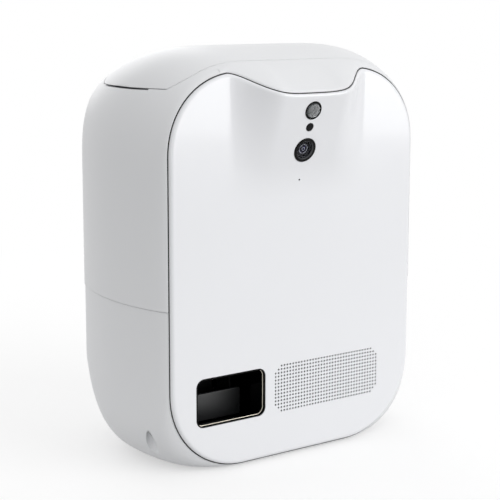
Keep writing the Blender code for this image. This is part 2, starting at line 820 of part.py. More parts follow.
def treat_hopper(upper, core):
    """The treat bin: a flange on two ledges, a straight mouth and a funnel to its offset outlet."""
    wall = 0.002
    flange_side_inset = 0.0115
    flange_end_inset = 0.006
    flange_corner = 0.040
    mouth_side_inset = 0.0252
    mouth_end_inset = 0.017
    mouth_corner = 0.012
    mouth_depth = 0.0073
    elbow_rise_share = 0.453
    elbow_in = 0.001
    elbow_reach = 0.075
    elbow_slope = 0.013
    elbow_corner = 0.009
    outlet_room = 0.0005
    outlet_corner = 0.003

    flange_x = HALF_WIDTH - flange_side_inset
    flange_y = (LID_FRONT + flange_end_inset, LID_BACK - flange_end_inset)
    flange = rounded_rectangle((-flange_x, flange_x), flange_y, flange_corner)
    mouth_x = LID_HALF_WIDTH - mouth_side_inset
    mouth_y = (LID_FRONT + mouth_end_inset, LID_BACK - mouth_end_inset)
    elbow_z = FEED_TOP + elbow_rise_share * (HOPPER_TOP - FEED_TOP)
    elbow_y = (mouth_y[0] - elbow_in, mouth_y[1] - elbow_slope)
    outlet_side = FEED_OPENING_SIDE + outlet_room
    outlet_y = (FEED_FRONT + 2 * FEED_WALL, FEED_FRONT + FEED_DEPTH - 2 * FEED_WALL)
    levels = (
        (HOPPER_TOP, (-mouth_x, mouth_x), mouth_y, mouth_corner),
        (HOPPER_TOP - mouth_depth, (-mouth_x, mouth_x), mouth_y, mouth_corner),
        (elbow_z, (elbow_in - mouth_x, FEED_X + elbow_reach), elbow_y, elbow_corner),
        (FEED_TOP + GAP, (FEED_X - outlet_side, FEED_X + outlet_side), outlet_y, outlet_corner),
    )
    inside = [flat_ring(rounded_rectangle(x, y, r), z) for z, x, y, r in levels]
    outside = []
    for z, x, y, r in levels:
        grown_x = (x[0] - wall, x[1] + wall)
        grown_y = (y[0] - wall, y[1] + wall)
        outside.append(flat_ring(rounded_rectangle(grown_x, grown_y, r + wall), z))
    underside = [(x, y, HOPPER_TOP - HOPPER_FLANGE) for x, y, z in outside[0]]
    rings = [flat_ring(flange, HOPPER_TOP), flat_ring(flange, HOPPER_TOP - HOPPER_FLANGE), underside]
    rings += outside[1:] + inside[::-1]
    hopper = loft("treat_hopper", rings, NATURAL, closed=True)

    ledge_inset = 0.0205
    ledge_depth = 0.0066
    ledge_half_length = 0.022
    screw_inset = 0.0165
    screw_spacing = 0.030
    screw_middle_y = 0.060
    head_radius = 0.003
    head_depth = 0.002
    shank_radius = 0.0014
    shank_length = 0.010
    clearance = 0.0004

    ledge_top = HOPPER_TOP - HOPPER_FLANGE - GAP
    ledge_z = (ledge_top - ledge_depth, ledge_top)
    ledge_y = (screw_middle_y - ledge_half_length, screw_middle_y + ledge_half_length)
    bore_bottom = ledge_z[0] - OVERRUN
    bore_length = HOPPER_TOP + OVERRUN - bore_bottom
    screw_number = 0
    for side in (-1, 1):
        across = sorted((side * (HALF_WIDTH - ledge_inset), side * HALF_WIDTH))
        ledge = box("hopper_ledge", across, ledge_y, ledge_z)
        keep_inside(ledge, core)
        join(upper, ledge)
        x = side * (HALF_WIDTH - screw_inset)
        for y in (screw_middle_y - screw_spacing / 2, screw_middle_y + screw_spacing / 2):
            screw_number += 1
            bore_start = (x, y, bore_bottom)
            bore = rod(
                "hopper_screw_bore", shank_radius + clearance, "Z", bore_start, bore_length,
                sides=SMALL_SIDES,
            )
            cut(upper, bore)
            cut(hopper, bore)
            seat = (x, y, HOPPER_TOP + GAP)
            name = f"hopper_screw_{screw_number}"
            screw(name, seat, "Z", -1, head_radius, head_depth, shank_radius, shank_length)
    return hopper


def screw(name, seat, axis, direction, head_radius, head_depth, shank_radius, shank_length):
    """A pan-head screw: its head outside a seat, its shank running in along the direction."""
    profile = [
        (0, -head_depth * direction),
        (head_radius * 0.7, -head_depth * direction),
        (head_radius, -head_depth * 0.5 * direction),
        (head_radius, 0),
        (shank_radius, 0),
        (shank_radius, shank_length * direction),
        (0, shank_length * direction),
    ]
    return turned(name, profile, axis, seat, STEEL, sides=SMALL_SIDES)


def gear(name, teeth, bore, place, width, phase, material):
    """A spur gear with straight-sided teeth, one pointing along +X at a phase of 0."""
    addendum_share = 0.9
    dedendum_share = 1.15
    root_share = 0.30
    tip_share = 0.13
    tip = GEAR_MODULE * (teeth / 2 + addendum_share)
    root = GEAR_MODULE * (teeth / 2 - dedendum_share)
    pitch = 2 * math.pi / teeth
    outline = []
    for tooth in range(teeth):
        for radius, share in ((root, -root_share), (tip, -tip_share), (tip, tip_share), (root, root_share)):
            angle = pitch * (tooth + phase + share)
            outline.append((radius * math.cos(angle), radius * math.sin(angle)))
    made = prism(name, outline, "Y", 0, width, material, place)
    hole_start = (place[0], place[1] - GAP, place[2])
    cut(made, rod(name + "_bore", bore, "Y", hole_start, width + 2 * GAP, sides=SMALL_SIDES))
    return made


def portioning_feed():
    """The feed wheel in its housing, its gear train and the motor that turns it."""
    wheel_room = 0.001
    spacer_inset = 0.0035
    spacer_end_inset = 0.004
    spacer_radius = 0.003
    hub_radius = 0.006
    vane_half_thickness = 0.001
    shaft_stub = 0.004
    shaft_proud = 0.003
    back = FEED_FRONT + FEED_DEPTH
    wheel_y = FEED_FRONT + FEED_WALL + wheel_room
    wheel_width = FEED_DEPTH - 2 * (FEED_WALL + wheel_room)
    opening_x = (FEED_X - FEED_OPENING_SIDE, FEED_X + FEED_OPENING_SIDE)
    opening_y = (FEED_FRONT + 2 * FEED_WALL, back - 2 * FEED_WALL)
    bearing = SHAFT_RADIUS + RUNNING_GAP
    hub_bore = SHAFT_RADIUS + GAP

    housing = box(
        "feed_housing",
        (FEED_X - FEED_SIDE, FEED_X + FEED_SIDE),
        (FEED_FRONT, back),
        (FEED_BOTTOM, FEED_TOP),
        NATURAL,
    )
    drum_start = (FEED_X, FEED_FRONT + FEED_WALL, FEED_HEIGHT)
    cut(housing, rod("feed_drum", FEED_BORE, "Y", drum_start, FEED_DEPTH - 2 * FEED_WALL, sides=32))
    cut(housing, box("feed_openings", opening_x, opening_y, (FEED_BOTTOM - OVERRUN, FEED_TOP + OVERRUN)))
    bore_start = (FEED_X, FEED_FRONT - OVERRUN, FEED_HEIGHT)
    cut(housing, rod("feed_shaft_bore", bearing, "Y", bore_start, FEED_DEPTH + 2 * OVERRUN))
    spacer_x = FEED_SIDE - spacer_inset
    spacer_length = PLATE_FRONT - GAP - back + OVERRUN
    for x in (FEED_X - spacer_x, FEED_X + spacer_x):
        for z in (FEED_BOTTOM + spacer_end_inset, FEED_TOP - spacer_end_inset):
            start = (x, back - OVERRUN, z)
            spacer = rod("gear_plate_spacer", spacer_radius, "Y", start, spacer_length, sides=SMALL_SIDES)
            join(housing, spacer)

    hub_start = (FEED_X, wheel_y, FEED_HEIGHT)
    rotor = rod("feed_rotor", hub_radius, "Y", hub_start, wheel_width, SILICONE)
    for turn in (math.pi / 4, -math.pi / 4):
        thickness = (-vane_half_thickness, vane_half_thickness)
        vane = box("feed_vanes", (-FEED_VANE, FEED_VANE), (0, wheel_width), thickness)
        vane.location = (FEED_X, wheel_y + wheel_width / 2, FEED_HEIGHT)
        vane.rotation_euler = (0, turn, 0)
        join(rotor, vane)
    rotor_bore_start = (FEED_X, wheel_y - GAP, FEED_HEIGHT)
    cut(rotor, rod("rotor_bore", hub_bore, "Y", rotor_bore_start, wheel_width + 2 * GAP, sides=SMALL_SIDES))
    shaft_start = (FEED_X, FEED_FRONT - shaft_stub, FEED_HEIGHT)
    shaft_length = PLATE_FRONT + PLATE_DEPTH + shaft_proud - shaft_start[1]
    shaft = rod("rotor_shaft", SHAFT_RADIUS, "Y", shaft_start, shaft_length, STEEL)
    wheel_place = (FEED_X, GEAR_FRONT, FEED_HEIGHT)
    wheel = gear("rotor_gear", WHEEL_TEETH, hub_bore, wheel_place, GEAR_WIDTH, 0, SATIN_WHITE)
    carry("feed_spindle", wheel_place, rotor, shaft, wheel)

    motor_shaft_radius = 0.0015
    motor_shaft_proud = 0.001
    motor_shaft_grip = 0.002
    plate_margin = 0.002
    plate_below = 0.001
    plate_reach = 0.015
    motor_shaft_hole = 0.004
    pinion_place = (PINION_X, GEAR_FRONT, FEED_HEIGHT)
    pinion_bore = motor_shaft_radius + GAP
    pinion = gear("motor_pinion", PINION_TEETH, pinion_bore, pinion_place, GEAR_WIDTH, 0.5, SATIN_WHITE)
    motor_front = PLATE_FRONT + PLATE_DEPTH + GAP
    motor_shaft_start = (PINION_X, GEAR_FRONT - motor_shaft_proud, FEED_HEIGHT)
    motor_shaft_length = motor_front + motor_shaft_grip - motor_shaft_start[1]
    motor_shaft = rod("motor_shaft", motor_shaft_radius, "Y", motor_shaft_start, motor_shaft_length, STEEL)
    carry("pinion_spindle", pinion_place, pinion, motor_shaft)

    plate = box(
        "gear_plate",
        (FEED_X - FEED_SIDE - plate_margin, PINION_X + plate_reach),
        (PLATE_FRONT, PLATE_FRONT + PLATE_DEPTH),
        (FEED_BOTTOM - plate_below, FEED_TOP),
        DARK_GREY,
    )
    for x, radius in ((FEED_X, bearing), (PINION_X, motor_shaft_hole)):
        start = (x, PLATE_FRONT - OVERRUN, FEED_HEIGHT)
        cut(plate, rod("gear_plate_bore", radius, "Y", start, PLATE_DEPTH + 2 * OVERRUN))

    can_radius = 0.0125
    can_length = 0.0247
    tail_radius = 0.004
    tail_length = 0.002
    socket_radius = motor_shaft_radius + RUNNING_GAP
    socket_depth = 0.0024
    profile = [
        (0, can_length + tail_length),
        (tail_radius, can_length + tail_length),
        (tail_radius, can_length),
        (can_radius, can_length),
        (can_radius, 0),
        (socket_radius, 0),
        (socket_radius, socket_depth),
        (0, socket_depth),
    ]
    turned("feed_motor", profile, "Y", (PINION_X, motor_front, FEED_HEIGHT), STEEL)


def drop_duct_and_mouth(panel, lower):
    """The slanted duct under the feed wheel and the black mouth that it drops treats into."""
    duct_wall = 0.0018
    duct_corner = 0.002
    duct_side_room = 0.0015
    duct_end_room = 0.0028
    liner_wall = 0.0025
    liner_over = 0.0051
    liner_back = 0.044
    inlet_inset = 0.0055
    inlet_front = 0.0098
    inlet_depth = 0.0144
    lip_back = 0.0055
    leg_spacing = 0.044
    leg_half_width = 0.003
    leg_front = 0.012
    leg_depth = 0.026
    leg_y = (leg_front, leg_front + leg_depth)
    relief = 0.0008

    back = FEED_FRONT + FEED_DEPTH
    liner_top = MOUTH_HIGH + liner_over
    inlet_x = (MOUTH_LEFT + inlet_inset, MOUTH_RIGHT - inlet_inset)
    inlet_y = (inlet_front, inlet_front + inlet_depth)
    duct_side = FEED_OPENING_SIDE + duct_side_room
    duct_x = (FEED_X - duct_side, FEED_X + duct_side)
    duct_y = (FEED_FRONT + duct_end_room, back - duct_end_room)
    duct_levels = ((FEED_BOTTOM - GAP, duct_x, duct_y), (liner_top + GAP, inlet_x, inlet_y))
    inside = []
    outside = []
    for z, x, y in duct_levels:
        grown_x = (x[0] - duct_wall, x[1] + duct_wall)
        grown_y = (y[0] - duct_wall, y[1] + duct_wall)
        inside.append(flat_ring(rounded_rectangle(x, y, duct_corner, 3), z))
        outside.append(flat_ring(rounded_rectangle(grown_x, grown_y, duct_corner + duct_wall, 3), z))
    loft("drop_duct", outside + inside[::-1], GLOSS_BLACK, closed=True)

    front = PANEL_SKIN + GAP
    liner_x = (MOUTH_LEFT - liner_wall, MOUTH_RIGHT + liner_wall)
    liner_z = (LINER_FLOOR - liner_wall, liner_top)
    liner = box("chute_liner", liner_x, (front, liner_back), liner_z, GLOSS_BLACK)
    relief_x = (liner_x[0] - relief, liner_x[1] + relief)
    relief_z = (liner_z[0] - relief, liner_z[1] + relief)
    cut(lower, box("frame_relief", relief_x, (POCKET_DEPTH - relief, FRAME_DEPTH + relief), relief_z))
    leg_z = (BRACKET_TOP + GAP, LINER_FLOOR - OVERRUN)
    for x in (KICKER_X - leg_spacing / 2, KICKER_X + leg_spacing / 2):
        join(liner, box("liner_leg", (x - leg_half_width, x + leg_half_width), leg_y, leg_z))
    hollow_y = (lip_back, liner_back + OVERRUN)
    hollow = box("liner_hollow", (MOUTH_LEFT, MOUTH_RIGHT), hollow_y, (LINER_FLOOR, liner_top - liner_wall))
    inlet = box("liner_inlet", inlet_x, inlet_y, (liner_top - 2 * liner_wall, liner_top + OVERRUN))
    mouth_outline = rounded_rectangle((MOUTH_LEFT, MOUTH_RIGHT), (MOUTH_LOW, MOUTH_HIGH), MOUTH_CORNER)
    mouth = prism("mouth", mouth_outline, "Y", -OVERRUN, lip_back + OVERRUN)
    cut(liner, hollow, inlet, mouth)
    cut(panel, mouth)


def kicker():
    """The plate in the mouth, the plunger that pushes it and the solenoid round the plunger."""
    plate_front = 0.025
    plate_depth = 0.0025
    plate_half_width = 0.024
    plate_lift = 0.0007
    plate_height = 0.0195
    rod_radius = 0.003
    collar_radius = 0.006
    collar_front = 0.100
    collar_depth = 0.002
    plate_x = (KICKER_X - plate_half_width, KICKER_X + plate_half_width)
    plate_z = (LINER_FLOOR + plate_lift, LINER_FLOOR + plate_lift + plate_height)
    plate = box("kicker_plate", plate_x, (plate_front, plate_front + plate_depth), plate_z, DARK_GREY)
    rod_start = plate_front + plate_depth + GAP
    profile = [
        (0, collar_front + collar_depth - rod_start),
        (collar_radius, collar_front + collar_depth - rod_start),
        (collar_radius, collar_front - rod_start),
        (rod_radius, collar_front - rod_start),
        (rod_radius, 0),
        (0, 0),
    ]
    place = (KICKER_X, rod_start, KICKER_HEIGHT)
    plunger = turned("kicker_plunger", profile, "Y", place, STEEL)
    carry("kicker_slide", place, plate, plunger)

    frame_front = 0.048
    frame_depth = 0.028
    frame_side = 0.015
    sheet = 0.002
    coil_radius = 0.013
    coil_clearance = 0.0005
    frame_y = (frame_front, frame_front + frame_depth)
    frame_z = (BRACKET_TOP + GAP, KICKER_HEIGHT + frame_side)
    frame = box("solenoid_frame", (KICKER_X - frame_side, KICKER_X + frame_side), frame_y, frame_z, STEEL)
    inside_y = (frame_y[0] + sheet, frame_y[1] - sheet)
    across = (KICKER_X - frame_side - OVERRUN, KICKER_X + frame_side + OVERRUN)
    cut(frame, box("solenoid_space", across, inside_y, (frame_z[0] + sheet, frame_z[1] + OVERRUN)))
    hole_start = (KICKER_X, frame_y[0] - OVERRUN, KICKER_HEIGHT)
    cut(frame, rod("plunger_hole", rod_radius + RUNNING_GAP, "Y", hole_start, frame_depth + 2 * OVERRUN))
    coil_y = (inside_y[0] + GAP, inside_y[1] - GAP)
    coil_bore = rod_radius + coil_clearance
    coil_length = coil_y[1] - coil_y[0]
    coil_profile = [(coil_bore, coil_length), (coil_radius, coil_length), (coil_radius, 0), (coil_bore, 0)]
    turned("solenoid_coil", coil_profile, "Y", (KICKER_X, coil_y[0], KICKER_HEIGHT), COPPER)
    spring(frame_y[1] + GAP, collar_front - GAP)


def spring(start, end):
    """The return spring: a round wire wound from the solenoid's frame to the plunger's collar."""
    wire = 0.0005
    coil_radius = 0.0044
    turns = 5
    points_per_turn = 8
    count = turns * points_per_turn + 1
    curve = bpy.data.curves.new("kicker_spring_wire", "CURVE")
    curve.dimensions = "3D"
    curve.bevel_depth = wire
    curve.bevel_resolution = 2
    curve.use_fill_caps = True
    line = curve.splines.new("POLY")
    line.points.add(count - 1)
    for index, point in enumerate(line.points):
        share = index / (count - 1)
        angle = 2 * math.pi * turns * share
        y = start + wire + (end - start - 2 * wire) * share
        point.co = (coil_radius * math.cos(angle), y, coil_radius * math.sin(angle), 1)
    drawn = bpy.data.objects.new("kicker_spring_wire", curve)
    CUTTERS.objects.link(drawn)
    mesh = finished_mesh("kicker_spring", welded_copy(drawn))
    mesh_object("kicker_spring", mesh, STEEL, (KICKER_X, 0, KICKER_HEIGHT))


def mechanism_frame(lower):
    """The bracket that carries the feed housing, the solenoid and the mouth, on four posts."""
    left_margin = 0.003
    right_margin = 0.009
    frame_front = 0.010
    frame_depth = 0.084
    cheek_front = 0.045
    cheek_depth = 0.017
    cheek_drop = 0.0017
    cheek = 0.0036
    post_radius = 0.004
    post_shares = ((0.18, 0.12), (0.88, 0.12), (0.30, 0.975), (0.88, 0.975))
    frame_x = (MOUTH_LEFT - left_margin, MOUTH_RIGHT + right_margin)
    frame_y = (frame_front, frame_front + frame_depth)
    cheek_y = (cheek_front, cheek_front + cheek_depth)
    frame = box("mechanism_frame", frame_x, frame_y, (BRACKET_BOTTOM, BRACKET_TOP), DARK_GREY)
    for side in (-1, 1):
        near = FEED_X + side * (FEED_SIDE + GAP)
        across = sorted((near, near + side * cheek))
        cheek_z = (BRACKET_BOTTOM + OVERRUN, FEED_TOP - cheek_drop)
        join(frame, box("frame_cheek", across, cheek_y, cheek_z))
    for x_share, y_share in post_shares:
        x = frame_x[0] + x_share * (frame_x[1] - frame_x[0])
        y = frame_front + y_share * frame_depth
        floor_post(lower, x, y, post_radius, BRACKET_BOTTOM - GAP)


def floor_post(lower, x, y, radius, top):
    """A post on the floor of the lower moulding."""
    root = 0.0009
    start = WALL - root
    join(lower, rod("floor_post", radius, "Z", (x, y, start), top - start, sides=SMALL_SIDES))


def sensor_group(panel):
    """The camera, the infrared lamp, the motion sensor and the microphone on their sloped board."""
    board_front = 0.0143
    board_thickness = 0.0016
    board_half_width = 0.013
    board_below = 0.0051
    board_above = 0.0079
    hole_front = 0.010
    hole_length = 0.022
    post_across = 0.0095
    post_up = -0.0125
    post_radius = 0.0025
    post_root = 0.0012
    part_back = board_front - GAP

    def seat(up, across=0.0, inward=0.0):
        return (across, inward, up)

    def hole(radius, up, sides=ROUND_SIDES):
        start = seat(up, inward=-hole_front)
        cut(panel, rod("sensor_hole", radius, "Y", start, hole_length, parent=SENSOR_LINE, sides=sides))

    hole(LENS_RING_RADIUS + GAP, 0)
    hole(INFRARED_RADIUS + GAP, INFRARED_UP, SMALL_SIDES)
    hole(MOTION_RADIUS + GAP, MOTION_UP)
    hole(MICROPHONE_HOLE_RADIUS, MICROPHONE_UP, SMALL_SIDES)
    for across in (-post_across, post_across):
        post_start = seat(post_up, across, PANEL_SKIN - post_root)
        post = rod(
            "board_post", post_radius, "Y", post_start, part_back - post_start[1],
            parent=SENSOR_LINE, sides=SMALL_SIDES,
        )
        join(panel, post)

    bezel_back = 0.004
    bezel_proud = 0.0006
    bezel_round = 0.0005
    bezel_bevel = 0.0007
    glass_radius = 0.0059
    glass_inward = 0.0009
    glass_thickness = 0.0012
    barrel_radius = 0.0075
    barrel_mouth = 0.0052
    barrel_mouth_depth = 0.0017
    barrel_floor = 0.0042
    barrel_cone = 0.0008
    bezel_bore = glass_radius + GAP
    bezel = [
        (bezel_bore, bezel_back),
        (LENS_RING_RADIUS, bezel_back),
        (LENS_RING_RADIUS, bezel_round - bezel_proud),
        (LENS_RING_RADIUS - bezel_round, -bezel_proud),
        (bezel_bore + bezel_bevel, -bezel_proud),
        (bezel_bore, GAP),
    ]
    turned("camera_ring", bezel, "Y", seat(0), GLOSS_BLACK, SENSOR_LINE)
    glass_start = seat(0, inward=glass_inward)
    rod("camera_glass", glass_radius, "Y", glass_start, glass_thickness, LENS_GLASS, SENSOR_LINE)
    barrel_front = bezel_back + GAP
    barrel = [
        (0, part_back),
        (barrel_radius, part_back),
        (barrel_radius, barrel_front),
        (barrel_mouth, barrel_front),
        (barrel_floor, barrel_front + barrel_mouth_depth),
        (0, barrel_front + barrel_mouth_depth + barrel_cone),
    ]
    turned("camera_barrel", barrel, "Y", seat(0), DARK_GREY, SENSOR_LINE)

    window_proud = 0.0002
    window_depth = 0.0026
    lamp_radius = 0.0025
    window_start = seat(INFRARED_UP, inward=-window_proud)
    rod(
        "infrared_window", INFRARED_RADIUS, "Y", window_start, window_depth,
        GLOSS_BLACK, SENSOR_LINE, SMALL_SIDES,
    )
    lamp_start = seat(INFRARED_UP, inward=window_depth - window_proud + GAP)
    rod(
        "infrared_lamp", lamp_radius, "Y", lamp_start, part_back - lamp_start[1],
        LENS_GLASS, SENSOR_LINE, SMALL_SIDES,
    )

    motion_bore = 0.0056
    motion_ring_depth = 0.0026
    motion_ring_proud = 0.0006
    motion_ring_round = 0.0003
    dome_base = 0.0024
    dome_rise = 0.0052
    dome_steps = 5
    can_radius = 0.0046
    can_inward = 0.0060
    motion_ring = [
        (motion_bore, motion_ring_depth),
        (MOTION_RADIUS, motion_ring_depth),
        (MOTION_RADIUS, motion_ring_round - motion_ring_proud),
        (MOTION_RADIUS - motion_ring_round, -motion_ring_proud),
        (motion_bore, -motion_ring_proud),
    ]
    turned("motion_sensor_ring", motion_ring, "Y", seat(MOTION_UP), GLOSS_BLACK, SENSOR_LINE)
    dome_radius = motion_bore - GAP
    dome = [(0, dome_base), (dome_radius, dome_base), (dome_radius, 0.0)]
    for step in range(1, dome_steps + 1):
        angle = math.pi / 2 * step / dome_steps
        height = (dome_base - dome_rise) * math.sin(angle)
        dome.append((dome_radius * math.cos(angle) if step < dome_steps else 0, height))
    turned("motion_sensor_lens", dome, "Y", seat(MOTION_UP), FROSTED, SENSOR_LINE)
    can_start = seat(MOTION_UP, inward=can_inward)
    rod("motion_sensor", can_radius, "Y", can_start, part_back - can_inward, STEEL, SENSOR_LINE)

    capsule_radius = 0.0030
    capsule_inward = 0.0030
    capsule_start = seat(MICROPHONE_UP, inward=capsule_inward)
    capsule_length = part_back - capsule_inward
    rod("microphone", capsule_radius, "Y", capsule_start, capsule_length, DARK_GREY, SENSOR_LINE, SMALL_SIDES)
    board_x = (-board_half_width, board_half_width)
    board_y = (board_front, board_front + board_thickness)
    board_up = (MICROPHONE_UP - board_below, MOTION_UP + board_above)
    box("sensor_board", board_x, board_y, board_up, BOARD_GREEN, SENSOR_LINE)


def speaker(panel):
    """The speaker behind the grille, in a round collar on the back of the panel."""
    driver_radius = 0.020
    magnet_radius = 0.013
    driver_depth = 0.022
    basket_back = 0.013
    rim_back = 0.0065
    collar_wall = 0.002
    collar_root = 0.0009
    collar_back = 0.0088
    collar_bore = driver_radius + 2 * GAP
    collar_radius = collar_bore + collar_wall
    collar_y = (PANEL_SKIN - collar_root, collar_back)
    place = (SPEAKER_X, 0, SPEAKER_Z)
    collar_profile = [
        (collar_bore, collar_y[1]),
        (collar_radius, collar_y[1]),
        (collar_radius, collar_y[0]),
        (collar_bore, collar_y[0]),
    ]
    join(panel, turned("speaker_collar", collar_profile, "Y", place))
    front = PANEL_SKIN + GAP
    profile = [
        (0, driver_depth),
        (magnet_radius, driver_depth),
        (magnet_radius, basket_back),
        (driver_radius, rim_back),
        (driver_radius, front),
        (0, front),
    ]
    turned("speaker_driver", profile, "Y", place, DARK_GREY)


def electronics(lower):
    """The main board on four posts, the power inlet and the pairing button at the back."""
    board_bottom = 0.024
    board_thickness = 0.0016
    board_left = 0.005
    board_width = 0.071
    board_x = (board_left, board_left + board_width)
    board_front = 0.035
    board_back_inset = 0.016
    post_radius = 0.0035
    post_shares = ((0.10, 0.09), (0.915, 0.09), (0.10, 0.85), (0.775, 0.82))
    block_root = 0.0006
    chip_rise = 0.0026
    connector_rise = 0.002
    capacitor_rise = 0.0049
    block_shares = (
        ((0.32, 0.58), (0.32, 0.54), chip_rise),
        ((0.66, 0.86), (0.16, 0.29), connector_rise),
        ((0.10, 0.24), (0.19, 0.39), capacitor_rise),
    )
    board_y = (board_front, BACK - board_back_inset)
    board_z = (board_bottom, board_bottom + board_thickness)
    board = box("main_board", board_x, board_y, board_z, BOARD_GREEN)

    def on_board(x_share, y_share):
        x = board_x[0] + x_share * (board_x[1] - board_x[0])
        return x, board_y[0] + y_share * (board_y[1] - board_y[0])

    for shares in post_shares:
        floor_post(lower, *on_board(*shares), post_radius, board_bottom - GAP)
    for x_shares, y_shares, rise in block_shares:
        low = on_board(x_shares[0], y_shares[0])
        high = on_board(x_shares[1], y_shares[1])
        block_z = (board_z[1] - block_root, board_z[1] + rise)
        join(board, box("board_block", (low[0], high[0]), (low[1], high[1]), block_z))

    switch_side = 0.0035
    switch_rise = 0.0045
    body_front_inset = 0.024
    switch_back_inset = 0.0063
    body_side = 0.0045
    body_rise = 0.0055
    body_back_inset = 0.0045
    nose_radius = 0.004
    nose_sunk = 0.0002
    bore_radius = 0.0028
    bore_depth = 0.011
    pin_radius = 0.001
    pin_length = 0.009
    pin_root = 0.001
    wall_room = 0.010
    switch_back = BACK - switch_back_inset
    switch_x = (BUTTON_X - switch_side, BUTTON_X + switch_side)
    switch_z = (board_z[1] - block_root, SOCKET_HEIGHT + switch_rise)
    join(board, box("button_switch", switch_x, (BACK - body_front_inset, switch_back), switch_z))

    body_z = (board_z[1] + GAP, SOCKET_HEIGHT + body_rise)
    body_y = (BACK - body_front_inset, BACK - body_back_inset)
    socket = box("power_socket", (SOCKET_X - body_side, SOCKET_X + body_side), body_y, body_z, GLOSS_BLACK)
    nose_start = (SOCKET_X, body_y[1] - OVERRUN, SOCKET_HEIGHT)
    nose_length = BACK - SEAM_STEP - nose_sunk - nose_start[1]
    join(socket, rod("socket_nose", nose_radius, "Y", nose_start, nose_length))
    bore_start = (SOCKET_X, BACK - bore_depth, SOCKET_HEIGHT)
    cut(socket, rod("socket_bore", bore_radius, "Y", bore_start, bore_depth + OVERRUN, sides=SMALL_SIDES))
    pin_start = (SOCKET_X, BACK - bore_depth - pin_root, SOCKET_HEIGHT)
    join(socket, rod("socket_pin", pin_radius, "Y", pin_start, pin_length, sides=8))
    wall_start = BACK - wall_room
    wall_length = wall_room + OVERRUN
    socket_hole_start = (SOCKET_X, wall_start, SOCKET_HEIGHT)
    cut(lower, rod("socket_hole", nose_radius + GAP, "Y", socket_hole_start, wall_length))

    cap_radius = 0.0035
    cap_length = 0.0039
    flange_radius = 0.005
    flange_depth = 0.0015
    rest_gap = 0.0004
    profile = [
        (0, cap_length),
        (cap_radius, cap_length),
        (cap_radius, flange_depth),
        (flange_radius, flange_depth),
        (flange_radius, 0),
        (0, 0),
    ]
    place = (BUTTON_X, switch_back + BUTTON_TRAVEL + rest_gap, SOCKET_HEIGHT)
    button = turned("pairing_button", profile, "Y", place, DARK_GREY)
    carry("button_slide", place, button)
    button_hole_start = (BUTTON_X, wall_start, SOCKET_HEIGHT)
    cut(lower, rod("button_hole", cap_radius + GAP, "Y", button_hole_start, wall_length))


def feet(lower):
    """Four rubber feet in round recesses."""
    radius = 0.006
    recess = 0.0015
    front_inset = 0.057
    front_y = 0.024
    back_inset = 0.069
    back_end_inset = 0.032
    height = FOOT_PROUD + recess - GAP
    front_x = HALF_WIDTH - front_inset
    back_x = HALF_WIDTH - back_inset
    back_y = BACK - back_end_inset
    places = ((-front_x, front_y), (front_x, front_y), (-back_x, back_y), (back_x, back_y))
    for number, (x, y) in enumerate(places, 1):
        rod(f"foot_{number}", radius, "Z", (x, y, -FOOT_PROUD), height, RUBBER)
        recess_start = (x, y, -FOOT_PROUD)
        cut(lower, rod("foot_recess", radius + GAP, "Z", recess_start, FOOT_PROUD + recess))


def housing_screws(upper, lower, core):
    """Four long screws in wells in the base, which clamp the two mouldings together."""
    well_radius = 0.0041
    well_wall = 0.0019
    post_radius = 0.004
    shank_radius = 0.0017
    head_radius = 0.0035
    head_depth = 0.0024
    boss_rise = 0.0186
    shank_rise = 0.0126
    pilot_room = 0.002
    clearance = 0.0004
    post_bottom = 0.006
    post_shoulder = 0.003
    post_neck = 0.005
    front_y = 0.021
    back_end_inset = 0.033
    front_top = 0.041
    back_top = 0.048
    side_inset = 0.0058

    low_seam = SEAM_HEIGHT - 2 * GAP
    high_seam = SEAM_HEIGHT + 2 * GAP
    shank_top = SEAM_HEIGHT + shank_rise
    bore_radius = shank_radius + clearance
    half_facet = math.pi / ROUND_SIDES
    number = 0
    for y, well_top in ((front_y, front_top), (BACK - back_end_inset, back_top)):
        for side in (-1, 1):
            number += 1
            x = side * (housing_side(y) - side_inset)
            profile = [
                (0, low_seam),
                (post_radius, low_seam),
                (post_radius, well_top + post_neck),
                (well_radius + well_wall, well_top + post_shoulder),
                (well_radius + well_wall, post_bottom),
                (0, post_bottom),
            ]
            post = turned("well_post", profile, "Z", (x, y, 0))
            keep_inside(post, core)
            join(lower, post)
            well = [
                (0, low_seam + OVERRUN),
                (bore_radius, low_seam + OVERRUN),
                (bore_radius, well_top),
                (well_radius, well_top),
                (well_radius, -OVERRUN),
                (0, -OVERRUN),
            ]
            well_cutter = turned("screw_well", well, "Z", (x, y, 0))
            well_cutter.rotation_euler.z = half_facet
            cut(lower, well_cutter)
            boss_length = SEAM_HEIGHT + boss_rise - high_seam
            join(upper, rod("screw_boss", post_radius, "Z", (x, y, high_seam), boss_length))
            pilot_start = (x, y, high_seam - OVERRUN)
            pilot_length = shank_top + pilot_room - pilot_start[2]
            cut(upper, rod("screw_pilot", bore_radius, "Z", pilot_start, pilot_length, sides=SMALL_SIDES))
            seat = (x, y, well_top - GAP)
            name = f"housing_screw_{number}"
            screw(name, seat, "Z", 1, head_radius, head_depth, shank_radius, shank_top - seat[2])


